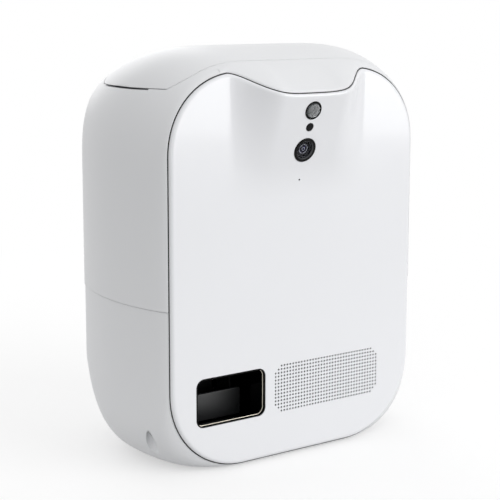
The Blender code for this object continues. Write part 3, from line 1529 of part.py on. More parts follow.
def panel_screws(upper, lower, panel):
    """Four screws from behind, through the frame and into bosses on the panel."""
    boss_radius = 0.003
    boss_root = 0.0005
    pilot_radius = 0.0015
    pilot_length = 0.005
    pilot_start = 0.0036
    side_inset = 0.0036
    above_corner = 0.0014
    below_corner = 0.0266
    head_radius = 0.0026
    head_depth = 0.002
    shank_radius = 0.0011
    shank_length = 0.0056
    boss_start = PANEL_SKIN - boss_root
    boss_length = PANEL_DEPTH - GAP - boss_start
    low_z = PANEL_BOTTOM + PANEL_BOTTOM_CORNER + above_corner
    high_z = PANEL_TOP - PANEL_TOP_CORNER - below_corner
    number = 0
    for z, moulding in ((low_z, lower), (high_z, upper)):
        for side in (-1, 1):
            number += 1
            x = side * (PANEL_HALF_WIDTH - side_inset)
            place = (x, boss_start, z)
            join(panel, rod("panel_boss", boss_radius, "Y", place, boss_length, sides=SMALL_SIDES))
            place = (x, pilot_start, z)
            cut(panel, rod("panel_pilot", pilot_radius, "Y", place, pilot_length, sides=SMALL_SIDES))
            place = (x, PANEL_DEPTH, z)
            cut(moulding, rod("frame_hole", pilot_radius, "Y", place, pilot_length, sides=SMALL_SIDES))
            seat = (x, FRAME_DEPTH + GAP, z)
            name = f"panel_screw_{number}"
            screw(name, seat, "Y", -1, head_radius, head_depth, shank_radius, shank_length)


def finger_slots(upper):
    """A slot under each side edge of the lid, its lower lip sloped outwards for the fingers."""
    front_inset = 0.020
    back_inset = 0.023
    side_inset = 0.023
    inner_depth = 0.0007
    outer_depth = 0.0024
    above = 0.003
    slot_y = (LID_FRONT + front_inset, LID_BACK - back_inset)
    top = LID_EDGE_HEIGHT + above
    for side in (-1, 1):
        near = side * (HALF_WIDTH - side_inset)
        far = side * HALF_WIDTH
        outline = [
            (near, LID_EDGE_HEIGHT - inner_depth),
            (far, LID_EDGE_HEIGHT - outer_depth),
            (far, top),
            (near, top),
        ]
        cut(upper, prism("finger_slot", outline, "Y", *slot_y))


def centre_footprint(panel):
    """Moves the whole camera until its depth is centred on the origin."""
    front = min(vertex.co.y for vertex in panel.data.vertices)
    BODY.location.y = -(front + BACK) / 2


CORE = housing_solid("housing_core", WALL / 2)
UPPER, LOWER = upper_and_lower_housing()
PANEL = front_panel()
lid_and_seal(CORE)
treat_hopper(UPPER, CORE)
portioning_feed()
drop_duct_and_mouth(PANEL, LOWER)
kicker()
mechanism_frame(LOWER)
sensor_group(PANEL)
speaker(PANEL)
electronics(LOWER)
feet(LOWER)
housing_screws(UPPER, LOWER, CORE)
panel_screws(UPPER, LOWER, PANEL)
finger_slots(UPPER)
centre_footprint(PANEL)
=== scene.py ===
import math

import bmesh
import bpy
from mathutils import Matrix, Vector


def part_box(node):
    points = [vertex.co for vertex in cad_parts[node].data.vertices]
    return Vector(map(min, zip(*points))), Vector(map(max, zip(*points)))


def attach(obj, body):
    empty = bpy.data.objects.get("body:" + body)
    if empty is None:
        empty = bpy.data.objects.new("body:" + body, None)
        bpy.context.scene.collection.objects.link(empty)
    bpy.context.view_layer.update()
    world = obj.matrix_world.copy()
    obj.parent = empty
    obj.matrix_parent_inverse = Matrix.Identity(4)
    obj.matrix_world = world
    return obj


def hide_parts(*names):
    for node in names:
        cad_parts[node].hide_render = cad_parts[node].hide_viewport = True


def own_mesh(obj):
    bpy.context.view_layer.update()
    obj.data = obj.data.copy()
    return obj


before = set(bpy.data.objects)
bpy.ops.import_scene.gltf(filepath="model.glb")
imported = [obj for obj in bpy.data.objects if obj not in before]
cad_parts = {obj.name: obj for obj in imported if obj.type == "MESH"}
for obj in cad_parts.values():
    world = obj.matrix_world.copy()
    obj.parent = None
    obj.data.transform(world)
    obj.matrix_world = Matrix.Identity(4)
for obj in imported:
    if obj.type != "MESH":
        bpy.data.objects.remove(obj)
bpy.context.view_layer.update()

# The studio: a white seamless floor, a large softbox at the right, a weak one at the left and one
# behind. The camera stands at the left of the object, above its top, and looks slightly down.
STUDIO = bpy.context.scene
STUDIO.view_settings.view_transform = "Standard"
DATUM = Vector((0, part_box("upper_housing")[1].y - 0.130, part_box("lower_housing")[0].z))
OBJECT_MIDDLE = Vector((0, 0, 0.14))
SURROUND_LIGHT = 0.69
FLOOR_HALF, FLOOR_LIFT, SHADOW_REACH, WHITE_FROM = 6.0, 0.48, 0.30, 0.75


def linear(code):
    """An sRGB hex colour as linear RGBA."""
    shares = [int(code[i : i + 2], 16) / 255 for i in (0, 2, 4)]
    return [s / 12.92 if s <= 0.04045 else ((s + 0.055) / 1.055) ** 2.4 for s in shares] + [1.0]


def add(tree, kind, inputs=None, **settings):
    """Adds a node with its settings, its values and the sockets that feed it."""
    made = tree.nodes.new(kind)
    for name, value in settings.items():
        setattr(made, name, value)
    for name, value in (inputs or {}).items():
        if isinstance(value, bpy.types.NodeSocket):
            tree.links.new(value, made.inputs[name])
        else:
            made.inputs[name].default_value = value
    return made


def linked(name, data):
    """A new object in the scene."""
    made = bpy.data.objects.new(name, data)
    STUDIO.collection.objects.link(made)
    return made


def blank_material(name):
    """A material, its empty tree and the socket of its object coordinates."""
    made = bpy.data.materials.new(name)
    made.use_nodes = True
    made.node_tree.nodes.clear()
    return made, made.node_tree, add(made.node_tree, "ShaderNodeTexCoord").outputs["Object"]


def seen_as_white(tree):
    """1 for the rays that show the background itself: from the camera, off a gloss or through glass."""
    path = add(tree, "ShaderNodeLightPath").outputs
    first = add(tree, "ShaderNodeMath", {0: path["Is Camera Ray"], 1: path["Is Glossy Ray"]}, operation="MAXIMUM")
    both = add(tree, "ShaderNodeMath", {0: first.outputs[0], 1: path["Is Transmission Ray"]}, operation="MAXIMUM")
    return both.outputs[0]


def seamless_floor():
    """White paper that the camera sees as white, with the object's shadow kept."""
    paper, tree, place = blank_material("white_paper_sweep")
    direct = seen_as_white(tree)
    sheet = add(tree, "ShaderNodeBsdfDiffuse", {"Color": linear("CACACA")})
    seen = add(tree, "ShaderNodeMath", {0: direct, 1: FLOOR_LIFT}, operation="MULTIPLY")
    lift = add(tree, "ShaderNodeEmission", {"Strength": seen.outputs[0]})
    near = add(tree, "ShaderNodeAddShader", {0: sheet.outputs[0], 1: lift.outputs[0]})
    reach = add(tree, "ShaderNodeVectorMath", {0: place}, operation="LENGTH")
    away = add(
        tree, "ShaderNodeMapRange",
        {"Value": reach.outputs["Value"], "From Min": SHADOW_REACH, "From Max": WHITE_FROM},
    )
    white = add(tree, "ShaderNodeEmission")
    grey = add(tree, "ShaderNodeBsdfDiffuse", {"Color": linear("8E8E8E")})
    far = add(tree, "ShaderNodeMixShader", {0: direct, 1: grey.outputs[0], 2: white.outputs[0]})
    both = add(tree, "ShaderNodeMixShader", {0: away.outputs[0], 1: near.outputs[0], 2: far.outputs[0]})
    add(tree, "ShaderNodeOutputMaterial", {"Surface": both.outputs[0]})
    mesh = bpy.data.meshes.new("floor")
    corners = [(FLOOR_HALF * x, FLOOR_HALF * y, 0) for x, y in ((-1, -1), (1, -1), (1, 1), (-1, 1))]
    mesh.from_pydata(corners, [], [(0, 1, 2, 3)])
    mesh.materials.append(paper)
    floor = linked("floor", mesh)


def studio_light(name, place, size, power):
    """A square softbox that faces the middle of the object."""
    lamp = bpy.data.lights.new(name, "AREA")
    lamp.size = size
    lamp.energy = power
    made = linked(name, lamp)
    made.location = place
    made.rotation_euler = (OBJECT_MIDDLE - Vector(place)).to_track_quat("-Z", "Y").to_euler()


def studio_world():
    """An even surround that lights the object softly and is itself seen as white."""
    world = bpy.data.worlds.new("studio")
    world.use_nodes = True
    tree = world.node_tree
    tree.nodes.clear()
    strength = add(
        tree, "ShaderNodeMix", {"Factor": seen_as_white(tree), "A": SURROUND_LIGHT, "B": 1.0}, data_type="FLOAT",
    )
    glow = add(tree, "ShaderNodeBackground", {"Color": linear("FFFFFF"), "Strength": strength.outputs["Result"]})
    add(tree, "ShaderNodeOutputWorld", {"Surface": glow.outputs[0]})
    STUDIO.world = world


def photo_camera():
    """The camera at the photograph's viewpoint, fitted to the object's own edges in it."""
    eye = Vector((-0.5199, -0.7027, 0.3179))
    azimuth = math.radians(33.821)
    pitch = math.radians(8.876)
    lens = bpy.data.cameras.new("photo_camera")
    lens.sensor_width = 36
    lens.lens = 92.42
    lens.shift_x = 0.0218
    lens.shift_y = -0.10
    lens.clip_start = 0.05
    lens.clip_end = 50
    camera = linked("photo_camera", lens)
    camera.location = eye + DATUM
    camera.rotation_euler = (math.pi / 2 - pitch, 0, -azimuth)
    STUDIO.camera = camera


seamless_floor()
studio_light("key_softbox", (1.05, -1.75, 0.62), 1.5, 20)
studio_light("fill_softbox", (-1.3, -1.1, 0.50), 1.0, 1.5)
studio_light("back_softbox", (0.3, 1.7, 0.95), 1.3, 6)
studio_world()
photo_camera()


# The lower rear moulding: white ABS, injection moulded with a fine spark-eroded texture. It is a
# deep tray whose corners grow towards the back. Four screws in wells clamp it to the upper one.
CROWN_HEIGHT = 0.2867
HALF_WIDTH = 0.117
BACK = 0.130
BACK_FILLET = 0.020
SIDE_BOW, WIDEST = 0.150, 0.062
CROWN_ARCH, CREST = 4.4, 0.055
HIGH_CORNER, LOW_CORNER, CORNER_POWER = 0.085, 0.0375, 2.9
RIM = 0.003
RIM_FADE, FRONT_FADE, CORNERS_FROM = 0.003, 0.007, 0.060
PANEL_HALF_WIDTH, PANEL_LOW, PANEL_HIGH = 0.1022, 0.0016, 0.2706
PANEL_LOW_CORNER, PANEL_HIGH_CORNER, PANEL_POWER = 0.057, 0.054, 2.1
WALL = 0.0025
SEAM_HEIGHT = 0.1154
SEAM_STEP = 0.0006
SEAM_CLEARANCE = 0.0003
PANEL_GAP = 0.0006
POCKET_DEPTH = 0.0075
FRAME_DEPTH = 0.0097
FRAME_INSET = 0.007
FAR = 0.3
LOW_STEPS = 20
HIGH_STEPS = 28


def noise(tree, place, scale, detail):
    """Cloudy noise, a value about a half."""
    return add(tree, "ShaderNodeTexNoise", {"Vector": place, "Scale": scale, "Detail": detail}).outputs["Fac"]


def blend(tree, factor, first, second):
    """A colour between two linear ones."""
    return add(tree, "ShaderNodeMix", {"Factor": factor, 6: first, 7: second}, data_type="RGBA").outputs[2]


def spread(tree, value, start, end, low, high):
    """A value from one range laid out over another."""
    limits = {"Value": value, "From Min": start, "From Max": end, "To Min": low, "To Max": high}
    return add(tree, "ShaderNodeMapRange", limits).outputs[0]


def bumps(tree, height, strength, depth):
    """The normal of a surface with a height in metres over it."""
    return add(tree, "ShaderNodeBump", {"Height": height, "Strength": strength, "Distance": depth})


def surface(tree, inputs):
    """The material's surface, from the inputs of its shader."""
    skin = add(tree, "ShaderNodeBsdfPrincipled", inputs)
    add(tree, "ShaderNodeOutputMaterial", {"Surface": skin.outputs[0]})


def moulded_plastic(name, colour, roughness, grain, depth, coat=0.0, edge=0.0, sheen=0.5):
    """A moulded plastic: its grain as bump, and a faint drift of gloss from the flow of the melt."""
    made, tree, place = blank_material(name)
    fine = noise(tree, place, 1 / grain, 3.0)
    flow = noise(tree, place, 14.0, 2.0)
    bump = bumps(tree, fine, 1.0, depth)
    if edge:
        tree.links.new(add(tree, "ShaderNodeBevel", {"Radius": edge}).outputs[0], bump.inputs["Normal"])
    shade = linear(colour)
    surface(tree, {
        "Base Color": blend(tree, flow, [0.985 * c for c in shade[:3]] + [1], shade), "IOR": 1.54,
        "Roughness": spread(tree, flow, 0.3, 0.7, roughness - 0.02, roughness + 0.03), "Normal": bump.outputs[0],
        "Specular IOR Level": sheen, "Coat Weight": coat, "Coat Roughness": 0.06,
    })
    return made


# Spark-eroded texture of 0.6 mm pitch, drawn coarser than the real 0.1 mm so that it shows, and
# edges rounded to 0.8 mm, which catch the light beside every seam.
HOUSING_ABS = moulded_plastic("spark_textured_white_abs", "EDEEF0", 0.38, 0.0006, 0.00001, edge=0.0008)


def sag(radius, distance):
    """How far an arc of this radius falls away from its top."""
    return radius - math.sqrt(radius * radius - distance * distance)


def spaced(start, end, steps):
    """Values from a start to an end in even steps."""
    return [start + (end - start) * step / steps for step in range(steps + 1)]


def corner_point(radius, power, share):
    """A point of a superelliptic corner, from 0 at its flat end to 1 at its upright end."""
    angle = share * math.pi / 2
    return radius * math.sin(angle) ** (2 / power), radius * (1 - math.cos(angle) ** (2 / power))


def half_outline(half_width, low, high, low_corner, high_corner, high_power):
    """The right half of an upright outline with unlike corners, bottom to top."""
    right = []
    for share in spaced(0, 1, LOW_STEPS):
        out, rise = corner_point(low_corner, 2.0, share)
        right.append((half_width - low_corner + out, low + rise))
    for share in reversed(spaced(0, 1, HIGH_STEPS)):
        out, rise = corner_point(high_corner, high_power, share)
        right.append((half_width - high_corner + out, high - rise))
    return right


def housing_section(y, side=0.0, wall=0.0, back=0.0):
    """The housing's cross-section at a depth, drawn in at its side, its top and bottom, and its back."""
    near_rim = math.exp(-(y - RIM) / RIM_FADE)
    near_front = math.exp(-(y - RIM) / FRONT_FADE)
    behind = max(0.0, min(y, BACK - BACK_FILLET) - CORNERS_FROM)
    half_width = HALF_WIDTH - sag(SIDE_BOW, y - WIDEST) - 0.0012 * near_rim - side - back
    high = CROWN_HEIGHT - CROWN_ARCH * (y - CREST) ** 2 - 0.003 * near_rim - wall - back
    low = 0.0005 * near_rim + wall + back
    inward = (side + wall) / 2 + back
    high_corner = HIGH_CORNER - 0.030 * near_front - 0.012 * (behind / 0.041) ** 2 - inward
    low_corner = LOW_CORNER + 0.021 * near_front + 0.014 * (behind / 0.035) ** 2 - inward
    return half_outline(half_width, low, high, low_corner, high_corner, CORNER_POWER - 0.8 * near_front)


def mirrored_ring(right_half, y):
    """A closed ring at a depth from the points of its right half."""
    return [(x, y, z) for x, z in right_half] + [(-x, y, z) for x, z in reversed(right_half)]


def housing_rings(first, side=0.0, wall=0.0, stations=34, fillet_steps=10):
    """Rings from a depth to the flat back, closer together at the rim, with the fillet at the back."""
    start = BACK - BACK_FILLET
    rings = []
    for step in range(stations):
        y = first + (start - first) * (step / stations) ** 2
        rings.append(mirrored_ring(housing_section(y, side, wall), y))
    fillet = BACK_FILLET - side
    for turn in spaced(0, math.pi / 2, fillet_steps):
        y = start + fillet * math.sin(turn)
        rings.append(mirrored_ring(housing_section(y, side, wall, fillet * (1 - math.cos(turn))), y))
    return rings


def panel_border(grow):
    """The right half of the panel's border without its smile."""
    return half_outline(
        PANEL_HALF_WIDTH + grow, PANEL_LOW - grow, PANEL_HIGH + grow, PANEL_LOW_CORNER + grow,
        PANEL_HIGH_CORNER + grow, PANEL_POWER,
    )


def loft(rings, closed=False):
    """Faces between rings of equal count, as a closed solid."""
    bm = bmesh.new()
    loops = [[bm.verts.new(point) for point in ring] for ring in rings]
    pairs = list(zip(loops, loops[1:])) + ([(loops[-1], loops[0])] if closed else [])
    for near, far in pairs:
        for i in range(len(near)):
            j = (i + 1) % len(near)
            bm.faces.new((near[i], near[j], far[j], far[i]))
    if not closed:
        bm.faces.new(loops[0])
        bm.faces.new(loops[-1])
    return bm


def outward(bm):
    """Turns the faces of a closed bmesh outwards."""
    bmesh.ops.recalc_face_normals(bm, faces=bm.faces)
    if bm.calc_volume(signed=True) < 0:
        bmesh.ops.reverse_faces(bm, faces=bm.faces)
    return bm


def moved(bm, matrix):
    """A bmesh put in another place."""
    bmesh.ops.transform(bm, matrix=matrix, verts=bm.verts)
    return bm


def workpiece(bm):
    """An object in the drawing's own frame, still to be cut and placed."""
    mesh = bpy.data.meshes.new("work")
    outward(bm).to_mesh(mesh)
    bm.free()
    return linked("work", mesh)


def combine(target, operation, *tools):
    """Exact Boolean steps, one for each tool."""
    for tool in tools:
        step = target.modifiers.new(operation.lower(), "BOOLEAN")
        step.operation = operation
        step.solver = "EXACT"
        step.object = tool


def cut(target, *tools):
    """Takes tools away from a work piece."""
    combine(target, "DIFFERENCE", *tools)


def settled(target, keep_tools=False):
    """The target with its steps worked out, as a bmesh. Its tools go too, unless they serve again."""
    tools = [] if keep_tools else [step.object for step in target.modifiers if step.type == "BOOLEAN"]
    graph = bpy.context.evaluated_depsgraph_get()
    mesh = bpy.data.meshes.new_from_object(target.evaluated_get(graph))
    bm = bmesh.new()
    bm.from_mesh(mesh)
    bpy.data.meshes.remove(mesh)
    for thing in {target, *tools}:
        bpy.data.objects.remove(thing)
    return bm


def piece(name, bm, material, replaced=(), body="housing", sharp=32):
    """A finished piece at its place in the frame, smooth except at its sharp edges."""
    mesh = bpy.data.meshes.new(name)
    outward(moved(bm, Matrix.Translation(DATUM))).to_mesh(mesh)
    bm.free()
    mesh.shade_smooth()
    mesh.set_sharp_from_angle(angle=math.radians(sharp))
    mesh.materials.clear()
    mesh.materials.append(material)
    made = linked(name, mesh)
    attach(made, body)
    if replaced:
        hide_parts(*replaced)
    return made


def block(x, y, z):
    """A box between two values on each axis, as a work piece."""
    bm = bmesh.new()
    place = Matrix.Translation([(low + high) / 2 for low, high in (x, y, z)])
    size = Matrix.Diagonal([high - low for low, high in (x, y, z)] + [1])
    bmesh.ops.create_cube(bm, size=1, matrix=place @ size)
    return workpiece(bm)


TO_Y = Matrix.Rotation(-math.pi / 2, 4, "X")


def turned(profile, place, axis="Z", sides=48):
    """A profile of (radius, height) turned full circle about an axis through a place, as a bmesh."""
    bm = bmesh.new()
    loops = []
    for radius, height in profile:
        if radius < 1e-7:
            loops.append([bm.verts.new((0, 0, height))])
            continue
        angles = spaced(0, 2 * math.pi, sides)[:-1]
        loops.append([bm.verts.new((radius * math.cos(a), radius * math.sin(a), height)) for a in angles])
    for near, far in zip(loops, loops[1:] + loops[:1]):
        for i in range(sides):
            j = (i + 1) % sides
            corners = (near[i % len(near)], near[j % len(near)], far[j % len(far)], far[i % len(far)])
            corners = list(dict.fromkeys(corners))
            if len(corners) > 2:
                bm.faces.new(corners)
    return moved(bm, Matrix.Translation(place) @ (TO_Y if axis == "Y" else Matrix.Identity(4)))


def rod(radius, place, length, axis="Z"):
    """A plain cylinder from a place along an axis, as a work piece."""
    return workpiece(turned([(0, length), (radius, length), (radius, 0), (0, 0)], place, axis))


def housing_shell(side):
    """The two mouldings as one shell: skin, pocket for the panel, frame and inner skin."""
    rings = list(reversed(housing_rings(RIM, side)))
    rim = mirrored_ring(housing_section(RIM, side), RIM)
    pocket = panel_border(PANEL_GAP)
    lip = mirrored_ring(pocket, RIM)
    for share, rise in ((0.35, -0.00035), (0.75, -0.0004)):
        rings.append([
            (a[0] + (b[0] - a[0]) * share, RIM + rise, a[2] + (b[2] - a[2]) * share) for a, b in zip(rim, lip)
        ])
    rings.append(lip)
    rings.append(mirrored_ring(pocket, POCKET_DEPTH))
    rings.append(mirrored_ring(panel_border(-FRAME_INSET), POCKET_DEPTH))
    rings.append(mirrored_ring(panel_border(-FRAME_INSET), FRAME_DEPTH))
    rings.extend(housing_rings(FRAME_DEPTH, side + WALL, WALL, 12, 4))
    return workpiece(loft(rings))


WELLS = ((0.1055, 0.021, 0.041), (0.10706, 0.097, 0.048))
WELL_RADIUS, POST_RADIUS, POST_FOOT = 0.0041, 0.0060, 0.006
FOOT_SEAT, SOCKET_HOLE, BUTTON_HOLE = 0.0063, 0.0043, 0.0038
FEET = ((-0.060, 0.024), (0.060, 0.024), (-0.048, 0.098), (0.048, 0.098))
SOCKET_X, BUTTON_X, SOCKET_HEIGHT = 0.036, 0.014, 0.0315


def lower_housing():
    lower = housing_shell(SEAM_STEP)
    core = workpiece(loft(housing_rings(RIM, WALL / 2, WALL / 2, 12, 4)))
    below = block((-FAR, FAR), (-FAR, FAR), (-FAR, SEAM_HEIGHT - SEAM_CLEARANCE / 2))
    combine(lower, "INTERSECT", below)
    for x, y, top in WELLS:
        for side in (-1, 1):
            profile = [(0, top + 0.006), (0.0040, top + 0.006), (POST_RADIUS, top + 0.003)]
            profile += [(POST_RADIUS, POST_FOOT), (0, POST_FOOT)]
            post = workpiece(turned(profile, (side * x, y, 0)))
            combine(post, "INTERSECT", core)
            combine(lower, "UNION", workpiece(settled(post, keep_tools=True)))
            cut(lower, rod(WELL_RADIUS, (side * x, y, -0.001), top + 0.001))
    for x, y in FEET:
        cut(lower, rod(FOOT_SEAT, (x, y, -0.001), 0.0025))
    cut(lower, rod(SOCKET_HOLE, (SOCKET_X, 0.120, SOCKET_HEIGHT), 0.015, "Y"))
    cut(lower, rod(BUTTON_HOLE, (BUTTON_X, 0.120, SOCKET_HEIGHT), 0.015, "Y"))
    piece("lower_housing_skin", settled(lower), HOUSING_ABS, ["lower_housing"])
    bpy.data.objects.remove(core)


lower_housing()


# The upper rear moulding: the same ABS. It carries the brow over the camera and the opening for the
# lid with a finger slot at each side.
LOBE_X = 0.0573
SMILE_LOW, SMILE_STEPS = 0.2561, 36
BULGE_HEIGHT, BULGE_BLEND, BULGE_SLOPE = 0.19575, 0.012, 0.335
BULGE_HALF_WIDTH, BULGE_FADE = 0.024, 0.034
LID_HALF_WIDTH, LID_FRONT, LID_BACK, LID_EDGE = 0.1052, 0.010, 0.106, 0.260
BROW_HALF_WIDTH, BROW_STEPS, BROW_WALL, BROW_ARCH = 0.062, 72, 0.0026, 0.00072
BROW_EDGE = ((0, -0.003), (0, 0), (0.00004, 0.0005), (0.0002, 0.0011), (0.00048, 0.0016))
FINGER_SLOT = ((0.094, 0.2596), (HALF_WIDTH, 0.2584), (HALF_WIDTH, 0.263), (0.094, 0.263))


def smooth_step(share):
    """An S curve from 0 to 1."""
    share = min(max(share, 0.0), 1.0)
    return share * share * (3 - 2 * share)


def panel_bulge(x, z):
    """How far the panel leans forward at a point of its outline plane."""
    above = z - BULGE_HEIGHT
    if above < -BULGE_BLEND:
        return 0.0
    if above < BULGE_BLEND:
        above = (above + BULGE_BLEND) ** 2 / (4 * BULGE_BLEND)
    return BULGE_SLOPE * above * (1 - smooth_step((abs(x) - BULGE_HALF_WIDTH) / BULGE_FADE))


def lobe_share():
    """How far up its top corner the panel's outline reaches before the smile begins."""
    reach = (LOBE_X - PANEL_HALF_WIDTH + PANEL_HIGH_CORNER) / PANEL_HIGH_CORNER
    return math.asin(reach ** (PANEL_POWER / 2)) / (math.pi / 2)


def smile_height(x):
    """The top edge of the panel between its two lobes."""
    lobe_top = PANEL_HIGH - corner_point(PANEL_HIGH_CORNER, PANEL_POWER, lobe_share())[1]
    return SMILE_LOW + (lobe_top - SMILE_LOW) * (1 - math.cos(math.pi * (x / LOBE_X) ** 2)) / 2


def panel_outline():
    """The panel's whole outline, with the smile between its lobes."""
    right = panel_border(0)[: LOW_STEPS + 1]
    for share in spaced(1, lobe_share(), HIGH_STEPS):
        out, rise = corner_point(PANEL_HIGH_CORNER, PANEL_POWER, share)
        right.append((PANEL_HALF_WIDTH - PANEL_HIGH_CORNER + out, PANEL_HIGH - rise))
    smile = [LOBE_X * share for share in spaced(1, 0, SMILE_STEPS)[1:-1]]
    right += [(x, smile_height(x)) for x in smile]
    return right + [(0.0, SMILE_LOW)] + [(-x, z) for x, z in reversed(right)]


def offset_outline(outline, inward):
    """An outline drawn inward, each point along the bisector of its two edges."""
    drawn = []
    for i, (x, z) in enumerate(outline):
        here = Vector((x, z))
        before = (here - Vector(outline[i - 1])).normalized()
        after = (Vector(outline[(i + 1) % len(outline)]) - here).normalized()
        normal = Vector((-before.y - after.y, before.x + after.x)).normalized()
        drawn.append(tuple(here + normal * inward / max(0.5, normal.dot(Vector((-before.y, before.x))))))
    return drawn


def rounded_rectangle(x, y, radius, steps=10):
    """The outline of a rectangle between two values on each axis, with round corners."""
    centres = (
        (x[1] - radius, y[0] + radius, -90), (x[1] - radius, y[1] - radius, 0),
        (x[0] + radius, y[1] - radius, 90), (x[0] + radius, y[0] + radius, 180),
    )
    return [
        (centre_x + radius * math.cos(math.radians(angle)), centre_y + radius * math.sin(math.radians(angle)))
        for centre_x, centre_y, first in centres for angle in spaced(first, first + 90, steps)
    ]


def prism(outline, axis, start, end):
    """A filled outline with a thickness along Y or Z, as a work piece."""
    along_y = axis == "Y"
    rings = [[(u, level, v) if along_y else (u, v, level) for u, v in outline] for level in (start, end)]
    return workpiece(loft(rings))


def panel_edge_beyond_lobe(reach):
    """The height of the panel's plain outline at a distance beyond its lobe."""
    share = (reach - PANEL_HALF_WIDTH + PANEL_HIGH_CORNER) / PANEL_HIGH_CORNER
    return PANEL_HIGH - PANEL_HIGH_CORNER * (1 - (1 - share**PANEL_POWER) ** (1 / PANEL_POWER))


def housing_height(x, y):
    """The height of the housing's crown at a point of its plan."""
    section = housing_section(y)[LOW_STEPS + 1 :]
    for (x_out, z_low), (x_in, z_high) in zip(section, section[1:]):
        if x_in <= x <= x_out:
            return z_low + (z_high - z_low) * (x_out - x) / (x_out - x_in)
    return section[-1][1]


def brow_plate():
    """The sloped roof plate from the panel's top edge to the crown."""
    end_y = LID_FRONT + 0.002
    rings = []
    for share in spaced(-1, 1, BROW_STEPS):
        x = BROW_HALF_WIDTH * share
        reach = abs(x)
        edge = smile_height(x) if reach < LOBE_X else panel_edge_beyond_lobe(reach)
        sink = 0.00025 - 0.00145 * smooth_step((reach - 0.050) / (BROW_HALF_WIDTH - 0.050))
        start = Vector((RIM - panel_bulge(x, edge), edge + PANEL_GAP))
        roof_start = start + Vector((0.0009, 0.002))
        roof_end = Vector((end_y, housing_height(reach, end_y) + sink))
        slope = (roof_end - roof_start).normalized()
        down = Vector((slope.y, -slope.x)) * BROW_WALL
        arch = Vector((-slope.y, slope.x)) * BROW_ARCH
        section = [start + Vector(step) for step in BROW_EDGE] + [roof_start]
        for way in (0.15, 0.33, 0.5, 0.7, 0.85):
            section.append(roof_start.lerp(roof_end, way) + arch * math.sin(math.pi * way))
        section += [roof_end, roof_end + down, roof_start.lerp(roof_end, 0.33) + down]
        section.append(start + Vector((0.0026, -0.003)))
        rings.append([(x, point.x, point.y) for point in section])
    return workpiece(loft(rings))


def lid_plan(inset):
    """The lid's plan, drawn in by a gap."""
    across = (inset - LID_HALF_WIDTH, LID_HALF_WIDTH - inset)
    return rounded_rectangle(across, (LID_FRONT + inset, LID_BACK - inset), 0.030 - inset, 16)


def upper_housing():
    upper = housing_shell(0.0)
    combine(upper, "INTERSECT", block((-FAR, FAR), (-FAR, FAR), (SEAM_HEIGHT + SEAM_CLEARANCE / 2, FAR)))
    plate = brow_plate()
    room = prism(offset_outline(panel_outline(), -PANEL_GAP * 2 / 3), "Y", -FAR, POCKET_DEPTH)
    cut(plate, room)
    combine(upper, "UNION", workpiece(settled(plate)))
    cut(upper, prism(lid_plan(0), "Z", LID_EDGE, FAR))
    for side in (-1, 1):
        slot = [(side * x, z) for x, z in FINGER_SLOT]
        cut(upper, prism(slot, "Y", 0.030, 0.083))
    piece("upper_housing_skin", settled(upper), HOUSING_ABS, ["upper_housing"])


upper_housing()


# The front panel: white ABS, polished in the mould, a shallow tray pressed into the housing's rim
# and held by four screws. It leans forward round the camera and is pierced for treats and sound.
PANEL_ABS = moulded_plastic("mirror_polished_white_abs", "F3F4F7", 0.16, 0.004, 0.000004, 0.4)
MOUTH_X, MOUTH_Z, MOUTH_CORNER = (-0.0835, -0.027), (0.0328, 0.0669), 0.006
LENS_HEIGHT = 0.2168
SENSOR_TILT = Matrix.Translation((0, -panel_bulge(0, LENS_HEIGHT), LENS_HEIGHT)) @ Matrix.Rotation(
    math.atan(BULGE_SLOPE), 4, "X"
)
SEAT_GAP = 0.0003
LENS_RING, INFRARED, MOTION, MICROPHONE = 0.00865, 0.00285, 0.00635, 0.0007
INFRARED_UP, MOTION_UP, MICROPHONE_UP = 0.01687, 0.0291, -0.0219
PITCH, COLUMNS, ROWS = 0.0025, 37, 14
GRILLE_MIDDLE = (0.02665, 0.0497)
GRILLE_WALL = 0.0007
PANEL_BACK, PANEL_WALL, PANEL_EDGE = 0.0072, 0.0022, 0.0030
BULGE_CUTS, BULGE_REACH = 0.002, 0.064


SOCKET_KINDS = {
    float: "Float", int: "Int", tuple: "Vector", bpy.types.Object: "Object", bpy.types.Material: "Material",
    type(None): "Geometry",
}


def node_group(name, values):
    """A Geometry Nodes group with a named input for each value. None stands for the mesh itself."""
    tree = bpy.data.node_groups.new(name, "GeometryNodeTree")
    for label, value in values.items():
        kind = "NodeSocket" + SOCKET_KINDS[type(value)]
        tree.interface.new_socket(label, in_out="INPUT", socket_type=kind)
    tree.interface.new_socket("Geometry", in_out="OUTPUT", socket_type="NodeSocketGeometry")
    return tree, add(tree, "NodeGroupInput").outputs


def worked_out(tree, given, shape, values, places=()):
    """What a Geometry Nodes group makes of its values and a mesh of places, as a bmesh."""
    real = add(tree, "GeometryNodeRealizeInstances", {"Geometry": shape})
    coated = add(tree, "GeometryNodeSetMaterial", {"Geometry": real.outputs[0], "Material": given["Material"]})
    add(tree, "NodeGroupOutput", {"Geometry": coated.outputs[0]})
    mesh = bpy.data.meshes.new(tree.name)
    mesh.from_pydata(places, [], [])
    made = linked(tree.name, mesh)
    step = made.modifiers.new(tree.name, "NODES")
    step.node_group = tree
    for socket in tree.interface.items_tree:
        if socket.in_out == "INPUT" and values[socket.name] is not None:
            step[socket.identifier] = values[socket.name]
    return settled(made)


